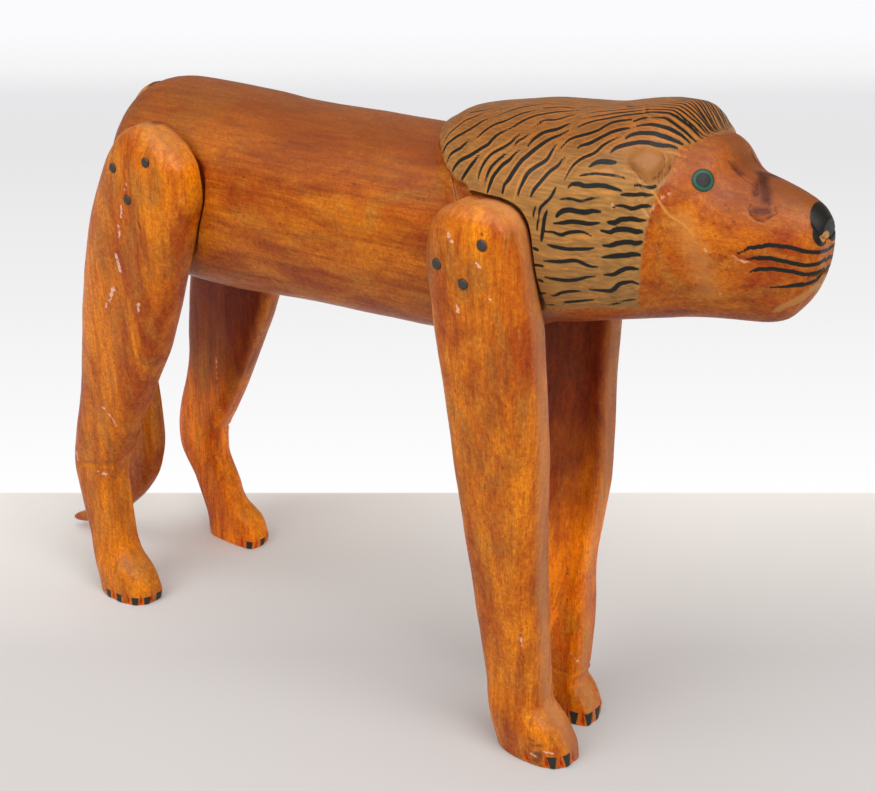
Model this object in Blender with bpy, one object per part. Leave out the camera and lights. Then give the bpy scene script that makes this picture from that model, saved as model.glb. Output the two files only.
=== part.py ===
"""A standing lion carved from wood: one log for the torso, maned neck and head, four leg boards nailed
to its sides, and a tail nailed to the rump. Metres, +Z up; the lion faces +X, its right side is -Y.
"""

import math

import bmesh
import bpy
from mathutils import Matrix, Vector

# Log that holds the torso, neck, mane and head
LOG_LENGTH = 0.632
LOG_WIDTH = 0.138
LOG_HEIGHT = 0.168
LOG_AXIS_HEIGHT = 0.398
RUMP_ROUNDING = 0.048
MUZZLE_ROUNDING = 0.020
MANE_STEP = 0.008
MANE_EDGE = 0.007
EAR_LENGTH = 0.034
EAR_HEIGHT = 0.026
EAR_RELIEF = 0.0045
EAR_DEPTH = 0.007
MOUTH_DEPTH = 0.007
MOUTH_WIDTH = 0.004

# Leg boards and their housings in the log
SEAT_WIDTH = 0.124
FRONT_LEG_HEIGHT = 0.450
HIND_LEG_HEIGHT = 0.457
FRONT_LEG_THICKNESS = 0.036
HIND_LEG_THICKNESS = 0.034
FRONT_FEET_APART = 0.063
HIND_FEET_APART = 0.121
LEFT_LEGS_LOWER = 0.010
LEFT_HIND_FOOT_OUT = 0.023
HOUSING_CLEARANCE = 0.0004
TOE_COUNT = 5
TOE_SPREAD = 150
TOE_TURN = 35
TOE_GROOVE_WIDTH = 0.0036
TOE_GROOVE_HEIGHT = 0.016

# Tail, nailed against the rounded end of the rump
TAIL_WIDTH = 0.024
TAIL_THICKNESS = 0.0115
TUFT_THICKNESS = 0.040
TAIL_CLEARANCE = 0.0004
TAIL_NAIL_PROUD = 0.001

# Nails
NAIL_HEAD_RADIUS = 0.0039
NAIL_HEAD_THICKNESS = 0.0018
NAIL_SHANK_RADIUS = 0.0017
NAIL_BITE = 0.022
NAIL_SINK = 0.0008
NAIL_POINT = 0.005
NAIL_CROWN = 0.7
NAIL_HOLE_REACH = 0.008
NAIL_CLEARANCE = 0.0003

# How finely the solids are faceted
LOG_SIDES = 28
LEG_SIDES = 16
TAIL_SIDES = 10
NAIL_SIDES = 8
EAR_SIDES = 20
# Small step along or round the log, to find which way its surface faces
STEP = 0.001

# Lengthwise shape of the log, as (share of its length from the rump, value)
# Top and bottom are shares of its height from its axis, and the side is a share of its half width.
MANE_START_SHARE = 0.530
FOREHEAD_SHARE = 0.865
FOREHEAD_FADE_SHARE = 0.03
LOG_TOP = [(0, 0.41), (0.05, 0.455), (0.1, 0.479), (0.184, 0.476), (0.323, 0.455), (0.485, 0.458),
           (MANE_START_SHARE, 0.455), (0.57, 0.522), (0.615, 0.557), (0.661, 0.585), (0.727, 0.601),
           (0.81, 0.652), (0.838, 0.655), (0.852, 0.637), (0.866, 0.605), (0.878, 0.593), (0.887, 0.572),
           (0.895, 0.535), (0.903, 0.505), (0.915, 0.482), (0.935, 0.464), (0.969, 0.427),
           (0.988, 0.395), (1, 0.35)]
LOG_BOTTOM = [(0, -0.48), (0.153, -0.523), (0.356, -0.471), (0.525, -0.416), (0.61, -0.311),
              (0.66, -0.262), (0.705, -0.238), (0.814, -0.164), (0.895, -0.113), (0.945, -0.095),
              (0.965, -0.072), (0.981, -0.01), (0.991, 0.05), (1, 0.14)]
LOG_SIDE = [(0, 0.93), (0.15, 1), (0.5, 0.97), (0.6, 0.99), (0.75, 0.96), (0.84, 0.86), (0.875, 0.75),
            (0.9, 0.65), (0.96, 0.45), (1, 0.28)]
LOG_SQUARENESS = [(0, 2.1), (0.5, 2.15), (0.62, 2.4), (0.8, 2.5), (0.87, 2.2), (1, 2.1)]
# How far the sides of a section lie forward of its top, as at the mane's slanting rear edge
LOG_SWEEP = [(0, 0), (0.3, 0), (0.5, 0.085), (0.55, 0.085), (0.66, 0.05), (0.8, 0.008), (0.86, 0)]
EAR_PLACE_SHARE = 0.844
EAR_TURN = 29
MOUTH_HEIGHT_SHARE = 0.14

# Side shape of each leg, as (share of its height, distance from the rump as a share of the log's length)
FRONT_LEG_REAR = [(0, 0.652), (0.05, 0.646), (0.12, 0.641), (0.33, 0.629), (0.53, 0.617), (0.66, 0.612),
                  (0.78, 0.605), (0.9, 0.601), (0.95, 0.608), (0.98, 0.621), (1, 0.645)]
FRONT_LEG_FRONT = [(0, 0.757), (0.03, 0.756), (0.07, 0.744), (0.115, 0.72), (0.36, 0.723), (0.66, 0.735),
                   (0.8, 0.735), (0.86, 0.729), (0.93, 0.724), (0.965, 0.719), (0.985, 0.71),
                   (0.996, 0.697), (1, 0.68)]
HIND_LEG_REAR = [(0, -0.041), (0.05, -0.045), (0.15, -0.061), (0.26, -0.069), (0.47, -0.028),
                 (0.63, -0.003), (0.82, 0.04), (0.91, 0.074), (0.955, 0.095), (0.985, 0.116), (1, 0.14)]
HIND_LEG_FRONT = [(0, 0.056), (0.02, 0.059), (0.06, 0.049), (0.1, 0.021), (0.13, 0.015), (0.26, 0.013),
                  (0.34, 0.038), (0.48, 0.096), (0.585, 0.141), (0.72, 0.183), (0.81, 0.208),
                  (0.89, 0.226), (0.935, 0.223), (0.965, 0.209), (0.985, 0.19), (1, 0.166)]
FRONT_LEG_GIRTH = [(0, 1.04), (0.06, 1.08), (0.14, 0.92), (0.35, 0.95), (0.8, 1.05), (0.93, 1.02),
                   (0.98, 0.9), (1, 0.7)]
HIND_LEG_GIRTH = [(0, 1.05), (0.05, 1.05), (0.13, 0.84), (0.27, 0.9), (0.5, 1), (0.8, 1.1), (0.93, 1.05),
                  (0.98, 0.88), (1, 0.68)]
# The left legs were carved by eye: their ankles and hocks sit lower, and they are shifted forward, or back
# where it is negative, by (place in the tables above, share of the log's length)
LEFT_FRONT_LEG_DROP = 0.33
LEFT_HIND_LEG_DROP = 0.13
LEFT_FRONT_LEG_SHIFT = [(0, -0.027), (0.08, -0.028), (0.12, -0.012), (0.2, -0.012), (0.4, -0.023),
                        (0.5, -0.022), (0.72, -0.036), (1, -0.041)]
LEFT_HIND_LEG_SHIFT = [(0, 0.002), (0.1, 0.003), (0.14, 0), (0.235, -0.023), (0.37, -0.023),
                       (0.56, -0.038), (0.7, -0.044), (1, -0.044)]
LEG_STATIONS = [0, 0.012, 0.03, 0.055, 0.08, 0.105, 0.13, 0.18, 0.23, 0.27, 0.32, 0.38, 0.45, 0.53, 0.61,
                0.69, 0.76, 0.82, 0.87, 0.91, 0.94, 0.965, 0.982, 0.994, 1]
# How a leg's section is rounded: low powers are squarer, and the widest line divides its thickness
LEG_INNER_SHARE = 0.4
LEG_EDGE_POWER = 0.62
FOOT_EDGE_POWER = 0.85
FOOT_SHARE = 0.12
LEG_OUTER_POWER = 0.75
LEG_INNER_POWER = 0.35

# Middle line of the tail, as shares of its nail's height: (back from the rump, height, size) below the
# nail, and above it the places along the log that it lies on
TAIL_NAIL_SHARE = 0.0066
TAIL_ROOT = [(0.038, 0.35), (0.026, 0.6), (0.015, 0.75), (TAIL_NAIL_SHARE, 0.85), (0.0015, 0.85)]
TAIL_LINE = [(0, 0.963, 0.85), (0, 0.935, 0.85), (0.006, 0.86, 0.95), (0.028, 0.71, 1), (0.042, 0.557, 1),
             (0.044, 0.443, 1), (0.043, 0.375, 1), (0.045, 0.304, 0.98), (0.056, 0.243, 0.88),
             (0.085, 0.187, 0.74), (0.126, 0.137, 0.58), (0.182, 0.084, 0.42), (0.258, 0.043, 0.3),
             (0.299, 0.028, 0.18), (0.311, 0.024, 0.08)]

# Where along its path the tail thickens into the tuft, and how squarely its section is rounded
TUFT_START_SHARE = 0.4
TUFT_FADE_SHARE = 0.2
TAIL_POWER = 0.7

# Nails in each leg, as (share of the log's length, share of the leg's height)
FRONT_NAILS = [(0.692, 0.949), (0.666, 0.882), (0.631, 0.904)]
HIND_NAILS = [(0.177, 0.947), (0.116, 0.925), (0.14, 0.874)]


def start_empty():
    for thing in list(bpy.data.objects):
        bpy.data.objects.remove(thing, do_unlink=True)


def make_material(name, colour, roughness, metallic=0.0):
    material = bpy.data.materials.new(name)
    material.use_nodes = True
    shader = material.node_tree.nodes["Principled BSDF"]
    shader.inputs["Base Color"].default_value = (*colour, 1.0)
    shader.inputs["Roughness"].default_value = roughness
    shader.inputs["Metallic"].default_value = metallic
    return material


def add_object(name, builder, material, parent):
    """Turn a bmesh into an object of the lion, shaded smooth over its carved rounds."""
    bmesh.ops.recalc_face_normals(builder, faces=builder.faces)
    mesh = bpy.data.meshes.new(name)
    builder.to_mesh(mesh)
    builder.free()
    mesh.materials.append(material)
    mesh.shade_smooth()
    mesh.set_sharp_from_angle(angle=math.radians(40))
    thing = bpy.data.objects.new(name, mesh)
    thing.parent = parent
    bpy.context.collection.objects.link(thing)
    return thing


def use_as_cutter(cutter, targets, operation="DIFFERENCE"):
    cutter.hide_render = True
    cutter.display_type = "WIRE"
    for target in targets:
        step = target.modifiers.new(cutter.name, "BOOLEAN")
        step.operation = operation
        step.object = cutter


def curve_value(points, place):
    """A smooth line through (place, value) points that never swings past them."""
    if place <= points[0][0]:
        return points[0][1]
    if place >= points[-1][0]:
        return points[-1][1]
    slopes = [(b[1] - a[1]) / (b[0] - a[0]) for a, b in zip(points, points[1:])]

    def tangent(index):
        if index in (0, len(points) - 1):
            return slopes[min(index, len(slopes) - 1)]
        before, after = slopes[index - 1], slopes[index]
        return 0.0 if before * after <= 0 else 2 * before * after / (before + after)

    i = max(k for k in range(len(points) - 1) if points[k][0] <= place)
    (x0, y0), (x1, y1) = points[i], points[i + 1]
    span = x1 - x0
    t = (place - x0) / span
    return (y0 * (1 + 2 * t) * (1 - t) ** 2 + tangent(i) * span * t * (1 - t) ** 2
            + y1 * t * t * (3 - 2 * t) + tangent(i + 1) * span * t * t * (t - 1))


def clamp(value):
    return min(1.0, max(0.0, value))


def fillet(distance, radius):
    """How much a rounded end has drawn in at a distance from its tip."""
    if distance >= radius:
        return 0.0
    return radius * (1 - math.sqrt(1 - (1 - distance / radius) ** 2))


def power(value, exponent):
    return math.copysign(abs(value) ** exponent, value)


def loft(rings):
    """A closed skin over rings of equally many points, with flat ends."""
    builder = bmesh.new()
    loops = [[builder.verts.new(point) for point in ring] for ring in rings]
    for near, far in zip(loops, loops[1:]):
        for k in range(len(near)):
            n = (k + 1) % len(near)
            builder.faces.new((near[k], near[n], far[n], far[k]))
    builder.faces.new(loops[0])
    builder.faces.new(loops[-1])
    return builder


# Log: torso, neck, mane and head

def log_point(share, angle):
    """A point of the log's surface; angle 0 is its left side and a quarter turn is its top."""
    x = share * LOG_LENGTH
    mane = clamp((x - MANE_START_SHARE * LOG_LENGTH) / MANE_EDGE)
    mane *= clamp((FOREHEAD_SHARE - share) / FOREHEAD_FADE_SHARE)
    top = curve_value(LOG_TOP, share) * LOG_HEIGHT + MANE_STEP * mane
    bottom = curve_value(LOG_BOTTOM, share) * LOG_HEIGHT
    half = curve_value(LOG_SIDE, share) * LOG_WIDTH / 2 + MANE_STEP * mane
    rump = fillet(x, RUMP_ROUNDING)
    muzzle = fillet(LOG_LENGTH - x, MUZZLE_ROUNDING)
    middle = (top + bottom) / 2
    exponent = 2 / curve_value(LOG_SQUARENESS, share)
    y = power(math.cos(angle), exponent) * (half - rump - muzzle * half / (half + MUZZLE_ROUNDING))
    z = middle + power(math.sin(angle), exponent) * ((top - bottom) / 2 - rump)
    sweep = curve_value(LOG_SWEEP, share) * LOG_LENGTH * (1 - max(0.0, math.sin(angle)) ** 2)
    return Vector((x + sweep, y, LOG_AXIS_HEIGHT + z))


def log_stations():
    """Places of the log's sections: close together at its rounded ends, the mane's edge and the face."""
    turns = [math.cos(math.radians(a)) for a in (0, 25, 45, 65, 90)]
    rump = [RUMP_ROUNDING / LOG_LENGTH * (1 - turn) for turn in turns]
    torso = [0.10 + 0.06 * k for k in range(7)]
    mane_edge = [MANE_START_SHARE + part * MANE_EDGE / LOG_LENGTH for part in (0, 0.5, 1)]
    mane = [0.57 + 0.05 * k for k in range(5)]
    face = [0.81, 0.83, 0.845, 0.86, 0.875, 0.888, 0.9, 0.915, 0.935, 0.952]
    muzzle = [1 - MUZZLE_ROUNDING / LOG_LENGTH * (1 - turn) for turn in reversed(turns)]
    return rump + torso + mane_edge + mane + face + muzzle


def build_log(material, parent):
    angles = [math.tau * (k + 0.5) / LOG_SIDES for k in range(LOG_SIDES)]
    rings = [[log_point(share, angle) for angle in angles] for share in log_stations()]
    return add_object("body_with_head", loft(rings), material, parent)


def build_ears(material, parent):
    """Two low oval lumps on the upper sides of the head, carved from the same log."""
    builder = bmesh.new()
    for turned in (EAR_TURN, 180 - EAR_TURN):
        angle = math.radians(turned)
        here = log_point(EAR_PLACE_SHARE, angle)
        ahead, behind = log_point(EAR_PLACE_SHARE + STEP, angle), log_point(EAR_PLACE_SHARE - STEP, angle)
        forward = (ahead - behind).normalized()
        around = log_point(EAR_PLACE_SHARE, angle + STEP) - log_point(EAR_PLACE_SHARE, angle - STEP)
        out = forward.cross(around).normalized()
        up = out.cross(forward)
        turn = Matrix((forward, up, out)).transposed().to_4x4()
        size = Matrix.Diagonal((EAR_LENGTH / 2, EAR_HEIGHT / 2, EAR_DEPTH, 1.0))
        place = Matrix.Translation(here - out * (EAR_DEPTH - EAR_RELIEF)) @ turn @ size
        bmesh.ops.create_uvsphere(builder, u_segments=EAR_SIDES, v_segments=EAR_SIDES // 2,
                                  radius=1.0, matrix=place)
    return add_object("ears", builder, material, parent)


def build_mouth(material, parent):
    """A wedge that cuts the slit between the upper muzzle and the jaw."""
    height = LOG_AXIS_HEIGHT + MOUTH_HEIGHT_SHARE * LOG_HEIGHT
    reach = LOG_WIDTH / 2
    builder = bmesh.new()
    corners = [(LOG_LENGTH - MOUTH_DEPTH, height), (LOG_LENGTH + MOUTH_DEPTH, height + MOUTH_WIDTH),
               (LOG_LENGTH + MOUTH_DEPTH, height - MOUTH_WIDTH)]
    face = builder.faces.new([builder.verts.new((x, -reach, z)) for x, z in corners])
    swept = bmesh.ops.extrude_face_region(builder, geom=[face])
    moved = [v for v in swept["geom"] if isinstance(v, bmesh.types.BMVert)]
    bmesh.ops.translate(builder, verts=moved, vec=(0, 2 * reach, 0))
    return add_object("mouth", builder, material, parent)


# Legs

def leg_shape(pair, side):
    """Everything that sets one leg: its outlines, height, lean and side of the log."""
    front = pair == "front"
    height = FRONT_LEG_HEIGHT if front else HIND_LEG_HEIGHT
    thickness = FRONT_LEG_THICKNESS if front else HIND_LEG_THICKNESS
    apart = FRONT_FEET_APART if front else HIND_FEET_APART
    left = side > 0
    return {
        "name": f"leg_{pair}_{'right' if side < 0 else 'left'}",
        "rear": FRONT_LEG_REAR if front else HIND_LEG_REAR,
        "front": FRONT_LEG_FRONT if front else HIND_LEG_FRONT,
        "girth": FRONT_LEG_GIRTH if front else HIND_LEG_GIRTH,
        "nails": FRONT_NAILS if front else HIND_NAILS,
        "height": height - (LEFT_LEGS_LOWER if left else 0.0),
        "thickness": thickness,
        "foot": apart / 2 - thickness / 2 + (LEFT_HIND_FOOT_OUT if left and not front else 0.0),
        "drop": (LEFT_FRONT_LEG_DROP if front else LEFT_HIND_LEG_DROP) if left else 0.0,
        "shift": (LEFT_FRONT_LEG_SHIFT if front else LEFT_HIND_LEG_SHIFT) if left else [(0, 0.0)],
        "side": side,
    }


def leg_inner_face(shape, z):
    """Distance of the leg's flat inner face from the middle plane, at a height."""
    return shape["foot"] + (SEAT_WIDTH / 2 - shape["foot"]) * z / LOG_AXIS_HEIGHT


def leg_place(shape, share):
    """Where in the shared leg tables to read a leg at a share of its height, and its shift there."""
    place = share * (1 + shape["drop"] * (1 - share))
    return place, curve_value(shape["shift"], place)


def leg_section(shape, share):
    """Rear edge, front edge, inner face and thickness of a leg at a share of its height."""
    place, shift = leg_place(shape, share)
    rear = (curve_value(shape["rear"], place) + shift) * LOG_LENGTH
    front = (curve_value(shape["front"], place) + shift) * LOG_LENGTH
    thickness = curve_value(shape["girth"], place) * shape["thickness"]
    return rear, front, leg_inner_face(shape, share * shape["height"]), thickness


def leg_reach(thickness, across, grow=0.0):
    """Distance from a leg's inner face at one turn round its section; across runs from -1 to 1."""
    if across > 0:
        depth, bend = thickness * (1 - LEG_INNER_SHARE), LEG_OUTER_POWER
    else:
        depth, bend = thickness * LEG_INNER_SHARE, LEG_INNER_POWER
    return thickness * LEG_INNER_SHARE + (depth + grow) * power(across, bend)


def edge_power(share):
    """How squarely a leg's front and rear edges are rounded: its foot is rounder than its board."""
    return LEG_EDGE_POWER + (FOOT_EDGE_POWER - LEG_EDGE_POWER) * clamp(1 - share / FOOT_SHARE)


def leg_outer_face(shape, x, z):
    """Distance of the leg's rounded outer face from the middle plane, at a place on its side."""
    share = z / shape["height"]
    rear, front, inner, thickness = leg_section(shape, share)
    along = clamp(abs(2 * x - rear - front) / (front - rear)) ** (1 / edge_power(share))
    return inner + leg_reach(thickness, math.sqrt(1 - along * along))


def leg_ring_point(shape, share, angle, grow=0.0):
    rear, front, inner, thickness = leg_section(shape, share)
    x = (rear + front) / 2 + power(math.cos(angle), edge_power(share)) * ((front - rear) / 2 + grow)
    y = shape["side"] * (inner + leg_reach(thickness, math.sin(angle), grow))
    return Vector((x, y, share * shape["height"] + (grow if share > 0.5 else 0.0)))


def leg_ring(shape, share, grow):
    angles = [math.tau * (k + 0.5) / LEG_SIDES for k in range(LEG_SIDES)]
    return [leg_ring_point(shape, share, angle, grow) for angle in angles]


def build_leg(shape, material, parent, grow=0.0):
    name = shape["name"] + ("_housing" if grow else "")
    rings = [leg_ring(shape, share, grow) for share in LEG_STATIONS]
    return add_object(name, loft(rings), material, parent)


def build_toe_grooves(shape, material, parent):
    """Narrow pyramids that notch a foot between its toes, from its front round to its outer side."""
    builder = bmesh.new()
    for k in range(1, TOE_COUNT):
        angle = math.radians(TOE_TURN + TOE_SPREAD * (k / TOE_COUNT - 0.5))
        foot = leg_ring_point(shape, 0.0, angle)
        place = Matrix.Translation((foot.x, foot.y, TOE_GROOVE_HEIGHT / 2 - TOE_GROOVE_WIDTH / 2))
        bmesh.ops.create_cone(builder, cap_ends=True, segments=4, radius1=TOE_GROOVE_WIDTH,
                              radius2=0.0, depth=TOE_GROOVE_HEIGHT, matrix=place)
    return add_object(shape["name"] + "_toe_grooves", builder, material, parent)


# Tail

def rump_spot(share):
    """A point of the rump's top middle line, and the way the wood faces there."""
    here = log_point(share, math.pi / 2)
    along = (log_point(share + STEP, math.pi / 2) - here).normalized()
    return here, Vector((-along.z, 0, along.x))


def tail_path():
    """Middle line of the tail from its upper end to its tip, as (x, z, size)."""
    path = []
    for share, size in TAIL_ROOT:
        here, out = rump_spot(share)
        middle = here + out * (TAIL_CLEARANCE + TAIL_THICKNESS * size / 2)
        path.append((middle.x, middle.z, size))
    high = rump_spot(TAIL_NAIL_SHARE)[0].z
    rest = TAIL_CLEARANCE + TAIL_THICKNESS / 2
    return path + [(-rest - back * high, up * high, size) for back, up, size in TAIL_LINE]


def build_tail(material, parent):
    path = tail_path()
    rings = []
    for k, (x, z, size) in enumerate(path):
        before, after = path[max(k - 1, 0)], path[min(k + 1, len(path) - 1)]
        ahead = Vector((after[0] - before[0], 0, after[1] - before[1])).normalized()
        across = Vector((ahead.z, 0, -ahead.x))
        tuft = clamp((k / len(path) - TUFT_START_SHARE) / TUFT_FADE_SHARE)
        thick = (TAIL_THICKNESS * (1 - tuft) + TUFT_THICKNESS * tuft) * size / 2
        wide = TAIL_WIDTH / 2 * math.sqrt(min(1.0, size))
        ring = []
        for n in range(TAIL_SIDES):
            angle = math.tau * (n + 0.5) / TAIL_SIDES
            ring.append(Vector((x, 0, z)) + across * power(math.cos(angle), TAIL_POWER) * thick
                        + Vector((0, power(math.sin(angle), TAIL_POWER) * wide, 0)))
        rings.append(ring)
    return add_object("tail", loft(rings), material, parent)


# Nails

def nail_builder(place, length, grow=0.0):
    """A round nail along -Z whose head seats at the place; grown, it is the hole it goes in."""
    builder = bmesh.new()
    head = NAIL_HEAD_RADIUS + grow
    shank = NAIL_SHANK_RADIUS + grow
    if grow:
        top = NAIL_HEAD_THICKNESS + NAIL_HOLE_REACH
        profile = [(0, top), (head, top), (head, 0)]
    else:
        top = NAIL_CLEARANCE + NAIL_HEAD_THICKNESS
        profile = [(0, top), (head * NAIL_CROWN, top), (head, NAIL_CLEARANCE + NAIL_HEAD_THICKNESS / 2),
                   (head, NAIL_CLEARANCE)]
    profile += [(shank, profile[-1][1]), (shank, NAIL_POINT - length), (0, -length - grow)]
    points = [builder.verts.new((r, 0, z)) for r, z in profile]
    edges = [builder.edges.new(pair) for pair in zip(points, points[1:])]
    bmesh.ops.spin(builder, geom=points + edges, cent=(0, 0, 0), axis=(0, 0, 1), angle=math.tau,
                   steps=NAIL_SIDES, use_merge=True)
    bmesh.ops.remove_doubles(builder, verts=builder.verts, dist=0.00001)
    bmesh.ops.transform(builder, verts=builder.verts, matrix=place)
    return builder


def nail_places(shapes):
    """Name, placing matrix and length of every nail: its seat faces out and it ends in the log."""
    found = []
    for shape in shapes:
        for number, (along, up) in enumerate(shape["nails"], start=1):
            x = (along + leg_place(shape, up)[1]) * LOG_LENGTH
            z = up * shape["height"]
            seat = leg_outer_face(shape, x, z) - NAIL_SINK
            length = seat - leg_inner_face(shape, z) + NAIL_BITE
            turn = Matrix.Rotation(-shape["side"] * math.pi / 2, 4, "X")
            place = Matrix.Translation((x, shape["side"] * seat, z)) @ turn
            found.append((f"nail_{shape['name'][4:]}_{number}", place, length))
    here, out = rump_spot(TAIL_NAIL_SHARE)
    seat = TAIL_CLEARANCE + TAIL_THICKNESS * dict(TAIL_ROOT)[TAIL_NAIL_SHARE] + TAIL_NAIL_PROUD
    place = Matrix.Translation(here + out * seat) @ out.to_track_quat("Z", "Y").to_matrix().to_4x4()
    found.append(("nail_tail", place, NAIL_BITE + seat))
    return found


def build_nails(places, material, parent):
    for name, place, length in places:
        add_object(name, nail_builder(place, length), material, parent)


def build_nail_holes(places, material, parent):
    whole = bmesh.new()
    for _, place, length in places:
        hole = nail_builder(place, length, NAIL_CLEARANCE)
        mesh = bpy.data.meshes.new("hole")
        hole.to_mesh(mesh)
        hole.free()
        whole.from_mesh(mesh)
        bpy.data.meshes.remove(mesh)
    return add_object("nail_holes", whole, material, parent)


def centre_over_origin(lion, solids):
    """Move the whole lion, whose soles are already on the floor, so that its box is centred there."""
    corners = [vertex.co for thing in solids for vertex in thing.data.vertices]
    for axis in (0, 1):
        values = [corner[axis] for corner in corners]
        lion.location[axis] = -(min(values) + max(values)) / 2


def main():
    start_empty()
    lion = bpy.data.objects.new("lion", None)
    bpy.context.collection.objects.link(lion)
    wood = make_material("stained_wood", (0.55, 0.20, 0.05), 0.45)
    leg_wood = make_material("stained_leg_wood", (0.52, 0.17, 0.035), 0.45)
    tail_wood = make_material("stained_tail_wood", (0.45, 0.15, 0.04), 0.45)
    iron = make_material("dark_nail_iron", (0.03, 0.03, 0.035), 0.5, 0.8)

    log = build_log(wood, lion)
    use_as_cutter(build_ears(wood, lion), [log], "UNION")
    use_as_cutter(build_mouth(wood, lion), [log])
    shapes = [leg_shape(pair, side) for pair in ("front", "hind") for side in (-1, 1)]
    legs = [build_leg(shape, leg_wood, lion) for shape in shapes]
    for shape, leg in zip(shapes, legs):
        use_as_cutter(build_leg(shape, leg_wood, lion, HOUSING_CLEARANCE), [log])
        use_as_cutter(build_toe_grooves(shape, leg_wood, lion), [leg])
    tail = build_tail(tail_wood, lion)
    places = nail_places(shapes)
    build_nails(places, iron, lion)
    use_as_cutter(build_nail_holes(places, iron, lion), [log, tail] + legs)
    centre_over_origin(lion, [log, tail] + legs)


main()
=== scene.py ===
import math
import random

import bmesh
import bpy
import numpy as np
from mathutils import Matrix, Vector, kdtree, noise


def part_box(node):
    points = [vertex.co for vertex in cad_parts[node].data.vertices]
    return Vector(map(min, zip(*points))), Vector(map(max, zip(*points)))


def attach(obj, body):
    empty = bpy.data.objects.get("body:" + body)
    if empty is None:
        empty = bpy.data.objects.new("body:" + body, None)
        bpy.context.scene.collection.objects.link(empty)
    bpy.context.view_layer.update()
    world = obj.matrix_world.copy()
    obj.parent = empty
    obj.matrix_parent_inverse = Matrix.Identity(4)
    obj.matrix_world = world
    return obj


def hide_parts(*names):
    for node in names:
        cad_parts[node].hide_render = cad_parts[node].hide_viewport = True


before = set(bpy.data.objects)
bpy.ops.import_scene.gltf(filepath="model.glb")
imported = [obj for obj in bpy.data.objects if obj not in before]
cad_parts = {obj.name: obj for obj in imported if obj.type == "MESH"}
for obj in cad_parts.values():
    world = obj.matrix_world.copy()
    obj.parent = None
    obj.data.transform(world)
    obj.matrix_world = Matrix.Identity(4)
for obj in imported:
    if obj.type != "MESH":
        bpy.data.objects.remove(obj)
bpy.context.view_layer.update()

# Log
# The torso, maned neck and head are one log, drawn in with a knife and rounded at both ends. The mane
# stands proud of the back and the ears are carved low on the head, from the same wood.
LOG_LENGTH = 0.632
LOG_WIDTH = 0.138
LOG_HEIGHT = 0.168
LOG_AXIS_HEIGHT = 0.398
RUMP_ROUNDING = 0.048
MUZZLE_ROUNDING = 0.020
MANE_STEP = 0.008
MANE_EDGE = 0.007
MANE_START_SHARE = 0.530
FOREHEAD_SHARE = 0.865
FOREHEAD_FADE_SHARE = 0.03
# Share of the log's length, and top and bottom as shares of its height, side as a share of half its width
LOG_TOP = [(0, 0.41), (0.05, 0.455), (0.1, 0.479), (0.184, 0.476), (0.323, 0.455), (0.485, 0.458),
           (MANE_START_SHARE, 0.455), (0.57, 0.522), (0.615, 0.557), (0.661, 0.585), (0.727, 0.601),
           (0.81, 0.652), (0.838, 0.655), (0.852, 0.637), (0.866, 0.605), (0.878, 0.593), (0.887, 0.572),
           (0.895, 0.535), (0.903, 0.505), (0.915, 0.482), (0.935, 0.464), (0.969, 0.427),
           (0.988, 0.395), (1, 0.35)]
LOG_BOTTOM = [(0, -0.48), (0.153, -0.523), (0.356, -0.471), (0.525, -0.416), (0.61, -0.311),
              (0.66, -0.262), (0.705, -0.238), (0.814, -0.164), (0.895, -0.113), (0.945, -0.095),
              (0.965, -0.072), (0.981, -0.01), (0.991, 0.05), (1, 0.14)]
LOG_SIDE = [(0, 0.93), (0.15, 1), (0.5, 0.97), (0.6, 0.99), (0.75, 0.96), (0.84, 0.86), (0.875, 0.75),
            (0.9, 0.65), (0.96, 0.45), (1, 0.28)]
LOG_SQUARENESS = [(0, 2.1), (0.5, 2.15), (0.62, 2.4), (0.8, 2.5), (0.87, 2.2), (1, 2.1)]
LOG_SWEEP = [(0, 0), (0.3, 0), (0.5, 0.085), (0.55, 0.085), (0.66, 0.05), (0.8, 0.008), (0.86, 0)]
# Where the rump's end and the log's middle plane lie in the finished lion
RUMP_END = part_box("body_with_head")[0].x
MIDDLE = (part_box("body_with_head")[0].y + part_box("body_with_head")[1].y) / 2
# How finely the skins are drawn: points round a section, sections along a piece, the share of a piece over
# which an end closes, and the squares of the net laid over it
ROUND_POINTS = 240
LOG_SECTIONS = 1300
END_SHARE = 0.03
LOG_NET = 0.0062
MERGE_DISTANCE = 0.000001


def smooth_line(points, place):
    """A smooth line through (place, value) points that never swings past them."""
    if place <= points[0][0]:
        return points[0][1]
    if place >= points[-1][0]:
        return points[-1][1]
    slopes = [(b[1] - a[1]) / (b[0] - a[0]) for a, b in zip(points, points[1:])]

    def tangent(index):
        if index in (0, len(points) - 1):
            return slopes[min(index, len(slopes) - 1)]
        before, after = slopes[index - 1], slopes[index]
        return 0.0 if before * after <= 0 else 2 * before * after / (before + after)

    i = max(k for k in range(len(points) - 1) if points[k][0] <= place)
    (x0, y0), (x1, y1) = points[i], points[i + 1]
    span = x1 - x0
    t = (place - x0) / span
    return (y0 * (1 + 2 * t) * (1 - t) ** 2 + tangent(i) * span * t * (1 - t) ** 2
            + y1 * t * t * (3 - 2 * t) + tangent(i + 1) * span * t * t * (t - 1))


def clamp(value):
    return np.clip(value, 0.0, 1.0)


def fade(value, start, end):
    """0 before the start, 1 after the end, and smooth between them."""
    t = clamp((value - start) / (end - start))
    return t * t * (3 - 2 * t)


def power(value, exponent):
    return np.sign(value) * np.abs(value) ** exponent


def fillet(distance, radius):
    """How much a rounded end has drawn in at a distance from its tip."""
    return radius * (1 - math.sqrt(1 - (1 - min(1.0, max(0.0, distance / radius))) ** 2))


def closed_end(ring, share):
    """Past the ends of a piece its section shrinks to a point, so that the skin closes."""
    closing = max(0.0, -share, share - 1) / END_SHARE
    middle = ring[:-1].mean(axis=0)
    return middle + (ring - middle) * (1 - closing)


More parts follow.
